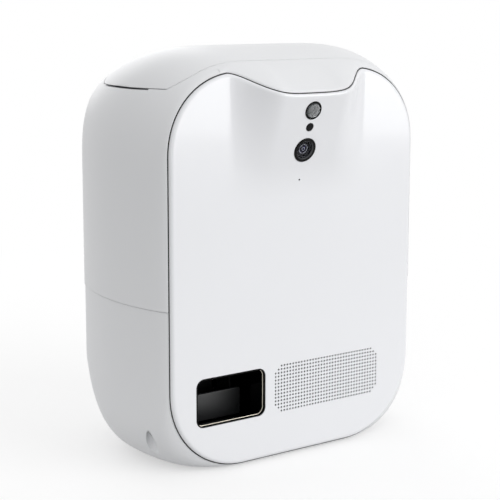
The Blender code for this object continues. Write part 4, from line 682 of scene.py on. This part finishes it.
def grille_holes():
    """The pins that pierce the grille: a square grid with its corners left out, by Geometry Nodes."""
    values = {
        "Pitch": PITCH, "Columns": COLUMNS, "Rows": ROWS, "Hole Radius": 0.00075, "Pin Length": 0.010,
        "Material": PANEL_ABS,
    }
    tree, given = node_group("grille_pins", values)

    def sum_of(operation, first, second=0.0):
        return add(tree, "ShaderNodeMath", {0: first, 1: second}, operation=operation).outputs[0]

    wide = sum_of("MULTIPLY", sum_of("SUBTRACT", given["Columns"], 1.0), given["Pitch"])
    high = sum_of("MULTIPLY", sum_of("SUBTRACT", given["Rows"], 1.0), given["Pitch"])
    grid = add(
        tree, "GeometryNodeMeshGrid",
        {"Size X": wide, "Size Y": high, "Vertices X": given["Columns"], "Vertices Y": given["Rows"]},
    )
    spot = add(tree, "ShaderNodeSeparateXYZ", {0: add(tree, "GeometryNodeInputPosition").outputs[0]}).outputs
    in_from_side = sum_of("SUBTRACT", sum_of("MULTIPLY", wide, 0.5), sum_of("ABSOLUTE", spot["X"]))
    in_from_end = sum_of("SUBTRACT", sum_of("MULTIPLY", high, 0.5), sum_of("ABSOLUTE", spot["Y"]))
    from_corner = sum_of("DIVIDE", sum_of("ADD", in_from_side, in_from_end), given["Pitch"])
    kept = sum_of("GREATER_THAN", from_corner, 1.5)
    pin = add(
        tree, "GeometryNodeMeshCylinder",
        {"Vertices": 12, "Radius": given["Hole Radius"], "Depth": given["Pin Length"]},
    )
    placed = add(
        tree, "GeometryNodeInstanceOnPoints",
        {"Points": grid.outputs["Mesh"], "Selection": kept, "Instance": pin.outputs["Mesh"]},
    )
    upright = Matrix.Translation((GRILLE_MIDDLE[0], 0, GRILLE_MIDDLE[1])) @ Matrix.Rotation(math.pi / 2, 4, "X")
    return workpiece(moved(worked_out(tree, given, placed.outputs[0], values), upright))


def grille_outline(margin):
    """A rounded rectangle round the grille's holes."""
    middle_x, middle_z = GRILLE_MIDDLE
    half_x, half_z = COLUMNS * PITCH / 2 + margin, ROWS * PITCH / 2 + margin
    return rounded_rectangle((middle_x - half_x, middle_x + half_x), (middle_z - half_z, middle_z + half_z), 0.004)


def slice_above(bm, height, point, normal):
    """Cuts the faces above a height along a plane."""
    faces = [face for face in bm.faces if face.calc_center_median().z > height]
    geometry = list({v for f in faces for v in f.verts}) + list({e for f in faces for e in f.edges}) + faces
    bmesh.ops.bisect_plane(bm, geom=geometry, plane_co=point, plane_no=normal)


def sensor_hole(radius, up):
    """A tilted pin through the panel on the camera's line, as a work piece."""
    bm = turned([(0, 0.022), (radius, 0.022), (radius, 0), (0, 0)], (0, -0.010, up), "Y", 64)
    return workpiece(moved(bm, SENSOR_TILT))


def front_panel():
    edge = [(0.0034, 0.0)]
    for turn in spaced(0, math.pi / 2, 6):
        edge.append((PANEL_EDGE * (1 - math.sin(turn)), PANEL_EDGE * (1 - math.cos(turn)) ** 1.15))
    edge += [(0.0, PANEL_BACK), (PANEL_WALL, PANEL_BACK), (PANEL_WALL, 0.0040), (0.0032, 0.0025)]
    outline = panel_outline()
    bm = loft([[(x, y, z) for x, z in offset_outline(outline, inset)] for inset, y in edge])
    start = BULGE_HEIGHT - BULGE_BLEND
    for level in (start - 2 * BULGE_CUTS, start):
        slice_above(bm, -FAR, (0, 0, level), (0, 0, 1))
    for step in range(1, 1 + int((PANEL_HIGH - start) / BULGE_CUTS)):
        slice_above(bm, start, (0, 0, start + BULGE_CUTS * step), (0, 0, 1))
    for step in range(round(BULGE_REACH / BULGE_CUTS)):
        for side in (1, -1):
            slice_above(bm, start, (side * BULGE_CUTS * step, 0, 0), (1, 0, 0))
    for vertex in bm.verts:
        vertex.co.y -= panel_bulge(vertex.co.x, vertex.co.z)
    panel = workpiece(bm)
    holes = [
        sensor_hole(LENS_RING + SEAT_GAP, 0), sensor_hole(INFRARED + SEAT_GAP, INFRARED_UP),
        sensor_hole(MOTION + SEAT_GAP, MOTION_UP), sensor_hole(MICROPHONE, MICROPHONE_UP),
        prism(rounded_rectangle(MOUTH_X, MOUTH_Z, MOUTH_CORNER), "Y", -0.002, 0.010),
        grille_holes(), prism(grille_outline(0.002), "Y", GRILLE_WALL, 0.003),
    ]
    cut(panel, *holes)
    piece("front_panel_skin", settled(panel), PANEL_ABS, ["front_panel"])


front_panel()


# The panel's gasket: a strip of black foam round its edge that keeps dust out. It is pressed into
# the gap to the housing. Its black is painted shade: it stands for the shade in that gap and draws
# the fine dark line round the panel.
SHADE_BLACK_FOAM = moulded_plastic("black_closed_cell_foam", "08080A", 0.90, 0.0007, 0.00005)


def panel_gasket():
    outline = panel_outline()
    rings = []
    for grown, level in ((0.0002, 0.0026), (-0.0005, 0.0025), (-0.0005, 0.0066), (0.0002, 0.0066)):
        edge = offset_outline(outline, grown)
        rings.append([(x, level - panel_bulge(x, z), z) for x, z in edge])
    piece("panel_gasket", loft(rings, closed=True), SHADE_BLACK_FOAM)


panel_gasket()


# The lid: the same textured ABS as the housing, cut from its crown, lifted off by hand. A skirt
# under it carries a soft silicone seal that keeps the treats fresh.
LID_GAP, SKIRT_FOOT, SKIRT_WALL = 0.00035, 0.250, 0.002


def skirt_plan(inset):
    """The plan of the skirt under the lid, drawn in."""
    return rounded_rectangle((inset - 0.084, 0.084 - inset), (0.024 + inset, 0.092 - inset), 0.012 - inset)


def lid():
    cover = workpiece(loft(housing_rings(RIM)))
    combine(cover, "INTERSECT", prism(lid_plan(LID_GAP), "Z", LID_EDGE + LID_GAP, FAR))
    cut(cover, workpiece(loft(housing_rings(RIM, WALL, WALL))))
    levels = ((0, SKIRT_FOOT), (0, CROWN_HEIGHT), (SKIRT_WALL, CROWN_HEIGHT), (SKIRT_WALL, SKIRT_FOOT))
    rings = [[(x, y, z) for x, y in skirt_plan(inset)] for inset, z in levels]
    wall = workpiece(loft(rings, closed=True))
    combine(wall, "INTERSECT", workpiece(loft(housing_rings(RIM, WALL / 2, WALL / 2))))
    combine(cover, "UNION", workpiece(settled(wall)))
    piece("lid_cover", settled(cover), HOUSING_ABS, ["lid"], "lid")


lid()


# The speaker cloth: black woven acoustic mesh, glued behind the grille. Through the holes it gives
# the eye a soft dark grey instead of the speaker's own parts.
CLOTH_THREAD = 0.0003
BANDS_A_UNIT = 3.18


def woven_cloth():
    """Black polyester mesh: two crossing sets of threads as bump, drawn at their real pitch."""
    made, tree, place = blank_material("black_acoustic_mesh")
    scale = 1 / (BANDS_A_UNIT * CLOTH_THREAD)
    threads = [
        add(tree, "ShaderNodeTexWave", {"Vector": place, "Scale": scale}, bands_direction=way).outputs["Fac"]
        for way in ("X", "Z")
    ]
    weave = add(tree, "ShaderNodeMath", {0: threads[0], 1: threads[1]}, operation="MAXIMUM").outputs[0]
    surface(tree, {
        "Base Color": blend(tree, weave, linear("08080A"), linear("1C1D20")), "Roughness": 0.85,
        "Normal": bumps(tree, weave, 1.0, 0.0001).outputs[0],
    })
    return made


def speaker_cloth():
    outline = grille_outline(0.0015)
    bm = loft([[(x, y, z) for x, z in outline] for y in (GRILLE_WALL + 0.00004, GRILLE_WALL + 0.0002)])
    piece("speaker_cloth", bm, woven_cloth())


speaker_cloth()


# The camera: a polished black ABS ring pressed into the panel, coated cover glass, a ribbed barrel
# that keeps stray light out, and the small front element of the wide lens deep inside it.
BLACK_ABS = moulded_plastic("mirror_polished_black_abs", "020203", 0.10, 0.004, 0.000002, sheen=0.12)


def on_panel(name, profile, material, replaced=(), up=0.0, sides=64, turn=0.0, sharp=32):
    """A piece of the housing, from a profile of (radius, inward) turned about the camera's tilted line."""
    place = SENSOR_TILT @ Matrix.Translation((0, 0, up)) @ Matrix.Rotation(turn, 4, "Y")
    bm = moved(turned(profile, (0, 0, 0), "Y", sides), place)
    piece(name, bm, material, replaced, sharp=sharp)


def rounded_edge(radius, inward, fillet):
    """The points of a front edge rounded outwards, from the front face to the side."""
    middle_radius, middle = radius - fillet, inward + fillet
    return [
        (middle_radius + fillet * math.sin(turn), middle - fillet * math.cos(turn))
        for turn in spaced(0, math.pi / 2, 5)
    ]


def glass_with_painted_sheen(name, tint, sheen, clear):
    """Optical glass: clear or tinted, its colour turning violet towards glancing angles, a painted sheen for the
    reflection of its anti-glare coating.
    """
    made, tree, place = blank_material(name)
    dust = noise(tree, place, 900.0, 4.0)
    # The facing mask gives a painted violet sheen, strongest at glancing angles.
    edge = add(tree, "ShaderNodeLayerWeight", {"Blend": 0.35}).outputs["Facing"]
    surface(tree, {
        "Base Color": blend(tree, edge, linear(tint), linear(sheen)), "IOR": 1.16, "Transmission Weight": clear,
        "Roughness": spread(tree, dust, 0.55, 0.8, 0.0, 0.03),
    })
    return made


BARREL_BLACK = moulded_plastic("matt_black_anodised_barrel", "040405", 0.40, 0.0008, 0.00001, sheen=0.2)
TRIM_GREY = moulded_plastic("satin_grey_abs", "2E3033", 0.25, 0.002, 0.000002)
# Pale grey for the rings inside the lens: a painted highlight that stands for reflections in it.
LENS_GLINT_GREY = moulded_plastic("pale_grey_acetal", "A6A9AC", 0.30, 0.001, 0.000002)
COVER_GLASS = glass_with_painted_sheen("coated_cover_glass", "F4F6FA", "DDD6F2", 1.0)
LENS_RADIUS = 0.0027
LENS_GLASS = glass_with_painted_sheen("violet_coated_lens_glass", "07070D", "35306E", 0.0)


def camera():
    bezel = [(0.0069, 0.0040), (0.0069, -0.0004), (0.0071, -0.0006)]
    bezel += rounded_edge(LENS_RING, -0.0006, 0.0005) + [(LENS_RING, 0.0040)]
    on_panel("camera_bezel", bezel, BLACK_ABS, ["camera_ring"])
    trim = [(0.0061, 0.0040), (0.0061, 0.0005), (0.0062, 0.0003), (0.0067, -0.0003)]
    on_panel("camera_trim_ring", trim + [(0.0069, -0.0003), (0.0069, 0.0040)], TRIM_GREY)
    glass = [(0, 0.0019), (0, 0.0009), (0.0059, 0.0009), (0.0060, 0.0010), (0.0060, 0.0019)]
    on_panel("camera_cover_glass", glass, COVER_GLASS, ["camera_glass"])
    barrel = [(0, 0.014), (0, 0.0042)]
    for radius, inward in ((0.0030, 0.0024), (0.0034, 0.0024), (0.0036, 0.0030), (0.0044, 0.0030), (0.0046, 0.0034)):
        barrel += [(radius, barrel[-1][1]), (radius, inward)]
    barrel += [(0.0058, 0.0034), (0.0058, 0.0043), (0.0073, 0.0043), (0.0075, 0.0045), (0.0075, 0.014)]
    on_panel("camera_lens_barrel", barrel, BARREL_BLACK, ["camera_barrel"])
    dome = [(0, 0.0041)]
    for turn in (0, 0.26, 0.52, 0.79, 1.05, 1.31, 1.57):
        dome.append((LENS_RADIUS * math.sin(turn), 0.0036 - 0.0014 * math.cos(turn)))
    on_panel("camera_lens", dome + [(LENS_RADIUS, 0.0041)], LENS_GLASS)
    # The retaining ring is a real part drawn paler than it is, and the small inner ring stands for the aperture's
    # reflection: both are painted highlights.
    for name, radius, inward in (("lens_retaining_ring", 0.0032, 0.0021), ("lens_iris_ring", 0.0011, 0.00212)):
        ring = [(radius - 0.0002, inward + 0.0002), (radius - 0.0001, inward), (radius + 0.0002, inward)]
        ring += [(radius + 0.0002, inward + 0.0003), (radius - 0.0002, inward + 0.0003)]
        on_panel(name, ring, LENS_GLINT_GREY)


camera()


# The infrared window is a plug of black acrylic that only infrared light passes. Above it sits the
# motion sensor's milky faceted dome, moulded in polyethylene, in a black ring. The microphone's
# foam boot lines the small hole below the camera. Its black partly stands for the shade inside the
# hole, as painted shade.
DOME_FACETS = 9
INFRARED_ACRYLIC = moulded_plastic("infrared_black_acrylic", "030203", 0.10, 0.004, 0.000001, sheen=0.15)


def milky_dome_plastic():
    """Natural polyethylene: milky and nearly clear, cloudy in fine patches."""
    made, tree, place = blank_material("milky_polyethylene")
    cloud = noise(tree, place, 500.0, 2.0)
    surface(tree, {
        "Base Color": blend(tree, cloud, linear("D4D7DB"), linear("F2F4F5")), "Roughness": 0.08, "IOR": 1.51,
        "Transmission Weight": 0.88, "Coat Weight": 0.3, "Coat Roughness": 0.1,
        "Normal": bumps(tree, cloud, 0.4, 0.00002).outputs[0],
    })
    return made


def motion_sensor():
    window = [(0, 0.0024), (0, -0.0002)] + rounded_edge(INFRARED, -0.0002, 0.0004) + [(INFRARED, 0.0024)]
    on_panel("infrared_plug", window, INFRARED_ACRYLIC, ["infrared_window"], INFRARED_UP, 40)
    ring = [(0.0059, 0.0026), (0.0059, -0.0005), (0.0060, -0.0006)] + rounded_edge(MOTION, -0.0006, 0.0002)
    ring.append((MOTION, 0.0026))
    on_panel("motion_sensor_bezel", ring, BLACK_ABS, ["motion_sensor_ring"], MOTION_UP)
    dome = [(0, -0.0024), (0.0016, -0.0025), (0.0036, -0.0021), (0.0050, -0.0010), (0.0057, 0.0006)]
    dome += [(0.0057, 0.0024), (0.0050, 0.0024), (0.0050, 0.0007), (0.0044, -0.0004), (0.0032, -0.0014)]
    dome += [(0.0014, -0.0018), (0, -0.0018)]
    on_panel(
        "motion_sensor_dome", dome, milky_dome_plastic(), ["motion_sensor_lens"], MOTION_UP,
        DOME_FACETS, math.pi / DOME_FACETS, sharp=5,
    )
    window = [(0, 0.0006), (0, -0.0013), (0.0017, -0.0013), (0.0019, -0.0011), (0.0019, 0.0006)]
    on_panel("motion_sensor_window", window, BARREL_BLACK, (), MOTION_UP, 24)
    # The boot's black foam partly stands for the shade inside the microphone hole: painted shade.
    spot = SENSOR_TILT @ Vector((0, 0, MICROPHONE_UP))
    face = (-panel_bulge(0, spot.z) - spot.y) * math.cos(math.atan(BULGE_SLOPE)) + 0.0003
    nose = [(0.0004, face + 0.0016), (0.0004, face), (0.00066, face), (0.00066, face + 0.0016)]
    on_panel("microphone_boot", nose, SHADE_BLACK_FOAM, (), MICROPHONE_UP, 24)


motion_sensor()


# The mouth: one gloss black ABS moulding whose lip fills the panel's opening. Its floor catches
# the treats, the duct drops them through its roof, and a champagne bead along its edge stands for
# the highlight on the lip's glossy rim: a painted highlight.
LIP_WALL, BEAD_HALF = 0.0008, 0.0003


def plated_steel(name, colour, roughness, mark):
    """Plated metal: fine turning or drawing marks at a spacing, and patches of duller plating."""
    made, tree, place = blank_material(name)
    marks = noise(tree, place, 1 / mark, 2.0)
    patches = noise(tree, place, 160.0, 3.0)
    shade = linear(colour)
    surface(tree, {
        "Base Color": blend(tree, patches, [0.86 * c for c in shade[:3]] + [1], shade), "Metallic": 1.0,
        "Roughness": spread(tree, patches, 0.35, 0.7, roughness - 0.05, roughness + 0.12),
        "Normal": bumps(tree, marks, 0.6, 0.00001).outputs[0],
    })
    return made


# Pale champagne metal for the bead: a painted highlight on the mouth's lip.
CHAMPAGNE_HIGHLIGHT = plated_steel("champagne_anodised_aluminium", "F2EADA", 0.30, 0.0004)


def mouth_outline(inset):
    """The mouth's rounded outline, drawn in."""
    x, z = [(low + inset, high - inset) for low, high in (MOUTH_X, MOUTH_Z)]
    return rounded_rectangle(x, z, MOUTH_CORNER - inset)


def mouth():
    liner = prism(rounded_rectangle((-0.086, -0.0245), (0.0248, 0.072), 0.004), "Y", 0.0028, 0.044)
    combine(liner, "UNION", prism(mouth_outline(SEAT_GAP), "Y", 0.0001, 0.004))
    for x in (-0.0775, -0.0335):
        combine(liner, "UNION", block((x - 0.003, x + 0.003), (0.012, 0.038), (0.0173, 0.0263)))
    cut(liner, prism(mouth_outline(LIP_WALL + SEAT_GAP), "Y", -0.001, 0.006))
    room = rounded_rectangle(MOUTH_X, (0.0273, 0.0695), 0.003)
    cut(liner, prism(room, "Y", 0.0055, 0.045))
    cut(liner, block((-0.078, -0.0325), (0.0098, 0.0242), (0.068, 0.073)))
    piece("mouth_liner", settled(liner), BLACK_ABS, ["chute_liner"])
    sections = []
    for turn in spaced(0, 2 * math.pi, 9)[:-1]:
        outline = mouth_outline(LIP_WALL + BEAD_HALF - BEAD_HALF * math.cos(turn))
        sections.append([(x, 0.0022 + 0.0004 * math.sin(turn), z) for x, z in outline])
    piece("mouth_bead", loft(sections, closed=True), CHAMPAGNE_HIGHLIGHT)


mouth()


# The kicker: a dark nylon plate behind the mouth's floor. The solenoid's steel plunger drives it
# forward to throw the treats, and a spring draws it back.
DARK_NYLON = moulded_plastic("dark_glass_filled_nylon", "1A1B1D", 0.50, 0.0008, 0.00002)
TURNED_STEEL = plated_steel("zinc_plated_turned_steel", "C4C8CC", 0.25, 0.0003)
KICKER_X, KICKER_HEIGHT = -0.0555, 0.038


def kicker():
    face = rounded_rectangle((-0.0795, -0.0315), (0.028, 0.0475), 0.0015)
    rings = []
    for inset, y in ((0.0007, 0.0250), (0.0002, 0.0252), (0.0, 0.0257), (0.0, 0.0270), (0.0005, 0.0275)):
        rings.append([(x, y, z) for x, z in offset_outline(face, inset)])
    piece("kicker_blade", loft(rings), DARK_NYLON, ["kicker_plate"], "kicker")
    stem = [(0, 0.0278), (0.0026, 0.0278), (0.0030, 0.0282), (0.0030, 0.100), (0.0057, 0.100), (0.0060, 0.1003)]
    stem += [(0.0060, 0.1017), (0.0057, 0.102), (0, 0.102)]
    plunger = turned(stem, (KICKER_X, 0, KICKER_HEIGHT), "Y")
    piece("kicker_plunger_rod", plunger, TURNED_STEEL, ["kicker_plunger"], "kicker")


kicker()


# The return spring: zinc-plated music wire, wound by machine. It is squeezed between the solenoid's
# frame and the plunger's collar while the kicker strikes.
SPRING_START, SPRING_LENGTH, SPRING_TRAVEL = 0.0764, 0.0233, 0.012
SPRING_TURNS, COIL_RADIUS, WIRE_RADIUS = 8.0, 0.0044, 0.0005
WIRE_STEEL = plated_steel("zinc_plated_music_wire", "B9BDC2", 0.28, 0.0004)


def return_spring():
    values = {
        "Turns": SPRING_TURNS, "Coil Radius": COIL_RADIUS, "Wire Radius": WIRE_RADIUS,
        "Length": SPRING_LENGTH - 2 * WIRE_RADIUS, "Steps": 24, "Material": WIRE_STEEL,
    }
    tree, given = node_group("wound_spring", values)
    helix = add(
        tree, "GeometryNodeCurveSpiral",
        {"Resolution": given["Steps"], "Rotations": given["Turns"], "Start Radius": given["Coil Radius"],
         "End Radius": given["Coil Radius"], "Height": given["Length"]},
    )
    wire = add(tree, "GeometryNodeCurvePrimitiveCircle", {"Resolution": 10, "Radius": given["Wire Radius"]})
    wound = add(
        tree, "GeometryNodeCurveToMesh",
        {"Curve": helix.outputs[0], "Profile Curve": wire.outputs[0], "Fill Caps": True},
    )
    place = Matrix.Translation((KICKER_X, SPRING_START + WIRE_RADIUS, KICKER_HEIGHT)) @ TO_Y
    bm = moved(worked_out(tree, given, wound.outputs[0], values), place)
    spring = piece("return_spring", bm, WIRE_STEEL, ["kicker_spring"], sharp=60)
    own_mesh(spring)


return_spring()


# The treat bin: one moulding of natural nylon, a milky off-white. Its flange is screwed to ledges
# in the upper housing, and its funnel leads down to the feed wheel.
NATURAL_NYLON = moulded_plastic("natural_nylon", "DAD6C9", 0.42, 0.0012, 0.00001)
BIN_WALL, FLANGE_TOP, FLANGE_UNDERSIDE = 0.002, 0.2473, 0.2450
BIN_SCREWS = [(x, y) for x in (-0.1005, 0.1005) for y in (0.045, 0.075)]


def bin_ring(place, grow=0.0):
    """A ring of the bin's wall, grown by the wall's thickness on its outer side."""
    x, y, radius, z = place
    outline = rounded_rectangle((x[0] - grow, x[1] + grow), (y[0] - grow, y[1] + grow), radius + grow)
    return [(u, v, z) for u, v in outline]


def treat_bin():
    flange_x, flange_y = (-0.1055, 0.1055), (0.016, 0.100)
    mouth = ((-0.080, 0.080), (0.027, 0.089), 0.012)
    course = [(*mouth, 0.240), ((-0.079, 0.020), (0.026, 0.076), 0.009, 0.195)]
    course.append(((-0.072, -0.038), (0.024, 0.060), 0.003, 0.152))
    rings = [bin_ring((flange_x, flange_y, 0.040, z)) for z in (FLANGE_TOP, FLANGE_UNDERSIDE)]
    rings += [bin_ring(place, BIN_WALL) for place in [(*mouth, FLANGE_UNDERSIDE)] + course]
    rings += [bin_ring(place) for place in course[::-1] + [(*mouth, FLANGE_TOP)]]
    bin_work = workpiece(loft(rings, closed=True))
    for x, y in BIN_SCREWS:
        cut(bin_work, rod(0.0018, (x, y, 0.240), 0.010))
    piece("treat_bin", settled(bin_work), NATURAL_NYLON, ["treat_hopper"], sharp=40)


treat_bin()


# The lid's seal: a ring of soft silicone with a round bulb that presses on the bin's flange. It is
# stretched over the lid's skirt and lifts off with it.
SILICONE = moulded_plastic("soft_grey_silicone", "B9BABC", 0.55, 0.002, 0.00001)


def seal():
    sections = []
    for turn in spaced(0, 2 * math.pi, 10)[:-1]:
        z = 0.24865 + 0.00105 * math.sin(turn)
        sections.append([(x, y, z) for x, y in skirt_plan(-SKIRT_WALL * math.cos(turn))])
    piece("lid_gasket", loft(sections, closed=True), SILICONE, ["lid_seal"], "lid", 60)


seal()


# Pan-head steel screws with a cross recess. Four in the base's wells clamp the two mouldings, and
# four short ones hold the bin's flange. Geometry Nodes set them out.
def cross_screw(head, height, shank, length):
    """One screw with its seat at zero and its shank upwards, as an object."""
    profile = [(0, -height), (head * 0.55, -height * 0.97), (head * 0.85, -height * 0.72)]
    profile += [(head, -height * 0.25), (head, 0), (shank, 0), (shank, length - 0.001), (0, length)]
    made = workpiece(turned(profile, (0, 0, 0), "Z", 32))
    for x, y in ((head * 0.5, head * 0.12), (head * 0.12, head * 0.5)):
        cut(made, block((-x, x), (-y, y), (-height * 1.1, -height * 0.35)))
    return workpiece(settled(made))


def set_out(name, pattern, places, up):
    """Copies of a work piece at places, by Geometry Nodes, as a bmesh."""
    turn = (0.0 if up else math.pi, 0.0, 0.0)
    values = {"Geometry": None, "Pattern": pattern, "Turn": turn, "Material": TURNED_STEEL}
    tree, given = node_group(name, values)
    one = add(tree, "GeometryNodeObjectInfo", {"Object": given["Pattern"]})
    points = add(tree, "GeometryNodeMeshToPoints", {"Mesh": given["Geometry"]})
    placed = add(
        tree, "GeometryNodeInstanceOnPoints",
        {"Points": points.outputs[0], "Instance": one.outputs["Geometry"], "Rotation": given["Turn"]},
    )
    bm = worked_out(tree, given, placed.outputs[0], values, places)
    bpy.data.objects.remove(pattern)
    return bm


def screws():
    wells = [(side * x, y, top - SEAT_GAP) for x, y, top in WELLS for side in (-1, 1)]
    holes = [(x, y, FLANGE_TOP + SEAT_GAP) for x, y in BIN_SCREWS]
    for name, replaced, size, places, up in (
        ("housing_screws", "housing_screw", (0.0035, 0.0024, 0.0015, 0.080), wells, True),
        ("bin_screws", "hopper_screw", (0.0030, 0.0020, 0.0015, 0.0095), holes, False),
    ):
        bm = set_out(name, cross_screw(*size), places, up)
        piece(name, bm, TURNED_STEEL, [f"{replaced}_{i}" for i in range(1, 5)])


screws()


# The feet: four pads of matt black rubber, glued into shallow round seats in the base. They stand
# a millimetre proud and stop the camera from sliding when the kicker fires.
FOOT_RUBBER = moulded_plastic("matt_black_rubber", "1C1C1D", 0.80, 0.0009, 0.00004)


def feet():
    pad = [(0, -0.0010), (0.0042, -0.0010), (0.0045, -0.0008), (0.0048, -0.0010)]
    pad += [(0.0054, -0.0010), (0.0059, -0.0007), (0.0060, -0.0003), (0.0060, 0.0010), (0.0058, 0.0012), (0, 0.0012)]
    for number, (x, y) in enumerate(FEET, 1):
        bm = turned(pad, (x, y, 0))
        piece(f"foot_pad_{number}", bm, FOOT_RUBBER, [f"foot_{number}"])


feet()


# The back: a power inlet with its steel centre pin, soldered to the main board, and beside it the
# small nylon button that pairs the camera.
def back_fittings():
    inlet = block((0.0315, 0.0405), (0.1060, 0.1245), (0.0259, 0.0370))
    combine(inlet, "UNION", rod(0.0040, (SOCKET_X, 0.120, SOCKET_HEIGHT), 0.0092, "Y"))
    cut(inlet, rod(0.0028, (SOCKET_X, 0.119, SOCKET_HEIGHT), 0.012, "Y"))
    piece("power_inlet", settled(inlet), BLACK_ABS, ["power_socket"])
    pin = [(0, 0.1185), (0.0009, 0.1185), (0.0009, 0.1278), (0.0006, 0.1284), (0, 0.1286)]
    piece("power_inlet_pin", turned(pin, (SOCKET_X, 0, SOCKET_HEIGHT), "Y", 24), TURNED_STEEL)
    cap = [(0, 0.1249), (0.0050, 0.1249), (0.0050, 0.1260), (0.0035, 0.1260), (0.0035, 0.1283), (0.0034, 0.1286)]
    cap += [(0.0031, 0.1288), (0.0020, 0.12865), (0, 0.12855)]
    key = turned(cap, (BUTTON_X, 0, SOCKET_HEIGHT), "Y", 40)
    piece("pairing_key", key, DARK_NYLON, ["pairing_button"], "button")


back_fittings()


# The feed wheel: soft silicone, moulded in one piece and pushed on its steel shaft. Four vanes with
# rounded tips meet in a hub, and bend rather than jam on a treat.
WHEEL_MIDDLE, WHEEL_WIDTH = (-0.055, 0.128), (0.023, 0.061)
VANE_REACH, VANE_HALF, HUB_RADIUS, BORE_RADIUS = 0.023, 0.001, 0.006, 0.0028


def arc(middle, radius, start, end, steps):
    """Points of an arc round a middle."""
    return [Vector(middle) + radius * Vector((math.cos(t), math.sin(t))) for t in spaced(start, end, steps)]


def feed_wheel():
    root = math.asin(VANE_HALF / HUB_RADIUS)
    shape = arc((VANE_REACH - VANE_HALF, 0), VANE_HALF, -math.pi / 2, math.pi / 2, 8)
    shape += arc((0, 0), HUB_RADIUS, root, math.pi / 2 - root, 6)
    outline = []
    for arm in range(4):
        turn = Matrix.Rotation(math.pi * (0.25 + 0.5 * arm), 2)
        outline += [tuple(turn @ point + Vector(WHEEL_MIDDLE)) for point in shape]
    wheel = prism(outline, "Y", *WHEEL_WIDTH)
    bore = [tuple(point) for point in arc(WHEEL_MIDDLE, BORE_RADIUS, 0, math.tau, 32)[:-1]]
    cut(wheel, prism(bore, "Y", 0.0, 0.1))
    piece("feed_wheel_vanes", settled(wheel), SILICONE, ["feed_rotor"], "feed_wheel")


feed_wheel()


# The works inside keep their CAD shapes. The feed wheel turns in a nylon housing on a bracket of
# glass-filled nylon, with acetal gears, drawn steel, a copper coil in a black-oxide steel frame and
# two circuit boards.
ACETAL = moulded_plastic("white_acetal", "E4E3DE", 0.30, 0.0010, 0.000006)
BOARD_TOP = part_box("main_board")[0].z + 0.0016
NO_PARTS = 1.0
COPPER_PITCH = 0.0004


def copper_winding():
    """Enamelled copper wire: turns 0.4 mm apart round the coil, glossy where the enamel catches light, with painted
    shade in the grooves between turns and a painted highlight on their crests.
    """
    made, tree, place = blank_material("enamelled_copper_winding")
    scale = 1 / (BANDS_A_UNIT * COPPER_PITCH)
    # Dark brown in the grooves and bright copper on the crests: painted shade and painted highlight.
    turns = add(tree, "ShaderNodeTexWave", {"Vector": place, "Scale": scale}, bands_direction="Y").outputs["Fac"]
    surface(tree, {
        "Base Color": blend(tree, turns, linear("6B2E12"), linear("C8703A")), "Metallic": 1.0, "Roughness": 0.32,
        "Normal": bumps(tree, turns, 1.0, 0.00015).outputs[0], "Coat Weight": 0.5,
    })
    return made


def solder_mask(name, part_height):
    """Green lacquer over copper tracks 1.2 mm apart, with black parts above a height."""
    made, tree, place = blank_material(name)
    tracks = add(
        tree, "ShaderNodeTexBrick",
        {"Vector": place, "Scale": 1.0, "Brick Width": 0.007, "Row Height": 0.0012, "Mortar Size": 0.00018,
         "Color1": linear("12552F"), "Color2": linear("155E35"), "Mortar": linear("2E8A55")},
    ).outputs
    height = add(tree, "ShaderNodeSeparateXYZ", {0: place}).outputs["Z"]
    above = add(tree, "ShaderNodeMath", {0: height, 1: part_height}, operation="GREATER_THAN").outputs[0]
    surface(tree, {
        "Base Color": blend(tree, above, tracks["Color"], linear("18181A")), "Roughness": 0.28,
        "Normal": bumps(tree, tracks["Fac"], 0.5, 0.00004).outputs[0],
    })
    return made


def dress(material, *names):
    """Gives CAD nodes that stay in view a finished material."""
    for name in names:
        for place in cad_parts[name].material_slots:
            place.material = material


dress(NATURAL_NYLON, "feed_housing")
dress(BLACK_ABS, "drop_duct")
dress(DARK_NYLON, "mechanism_frame", "gear_plate", "speaker_driver", "microphone")
dress(ACETAL, "rotor_gear", "motor_pinion")
dress(
    plated_steel("drawn_steel", "B4B7BB", 0.33, 0.0005), "feed_motor", "rotor_shaft", "motor_shaft", "motion_sensor",
    *[f"panel_screw_{i}" for i in range(1, 5)],
)
dress(plated_steel("black_oxide_steel", "2A2B2D", 0.45, 0.0005), "solenoid_frame")
dress(copper_winding(), "solenoid_coil")
dress(solder_mask("green_solder_mask", BOARD_TOP), "main_board")
dress(solder_mask("green_sensor_board_mask", NO_PARTS), "sensor_board")
dress(LENS_GLASS, "infrared_lamp")
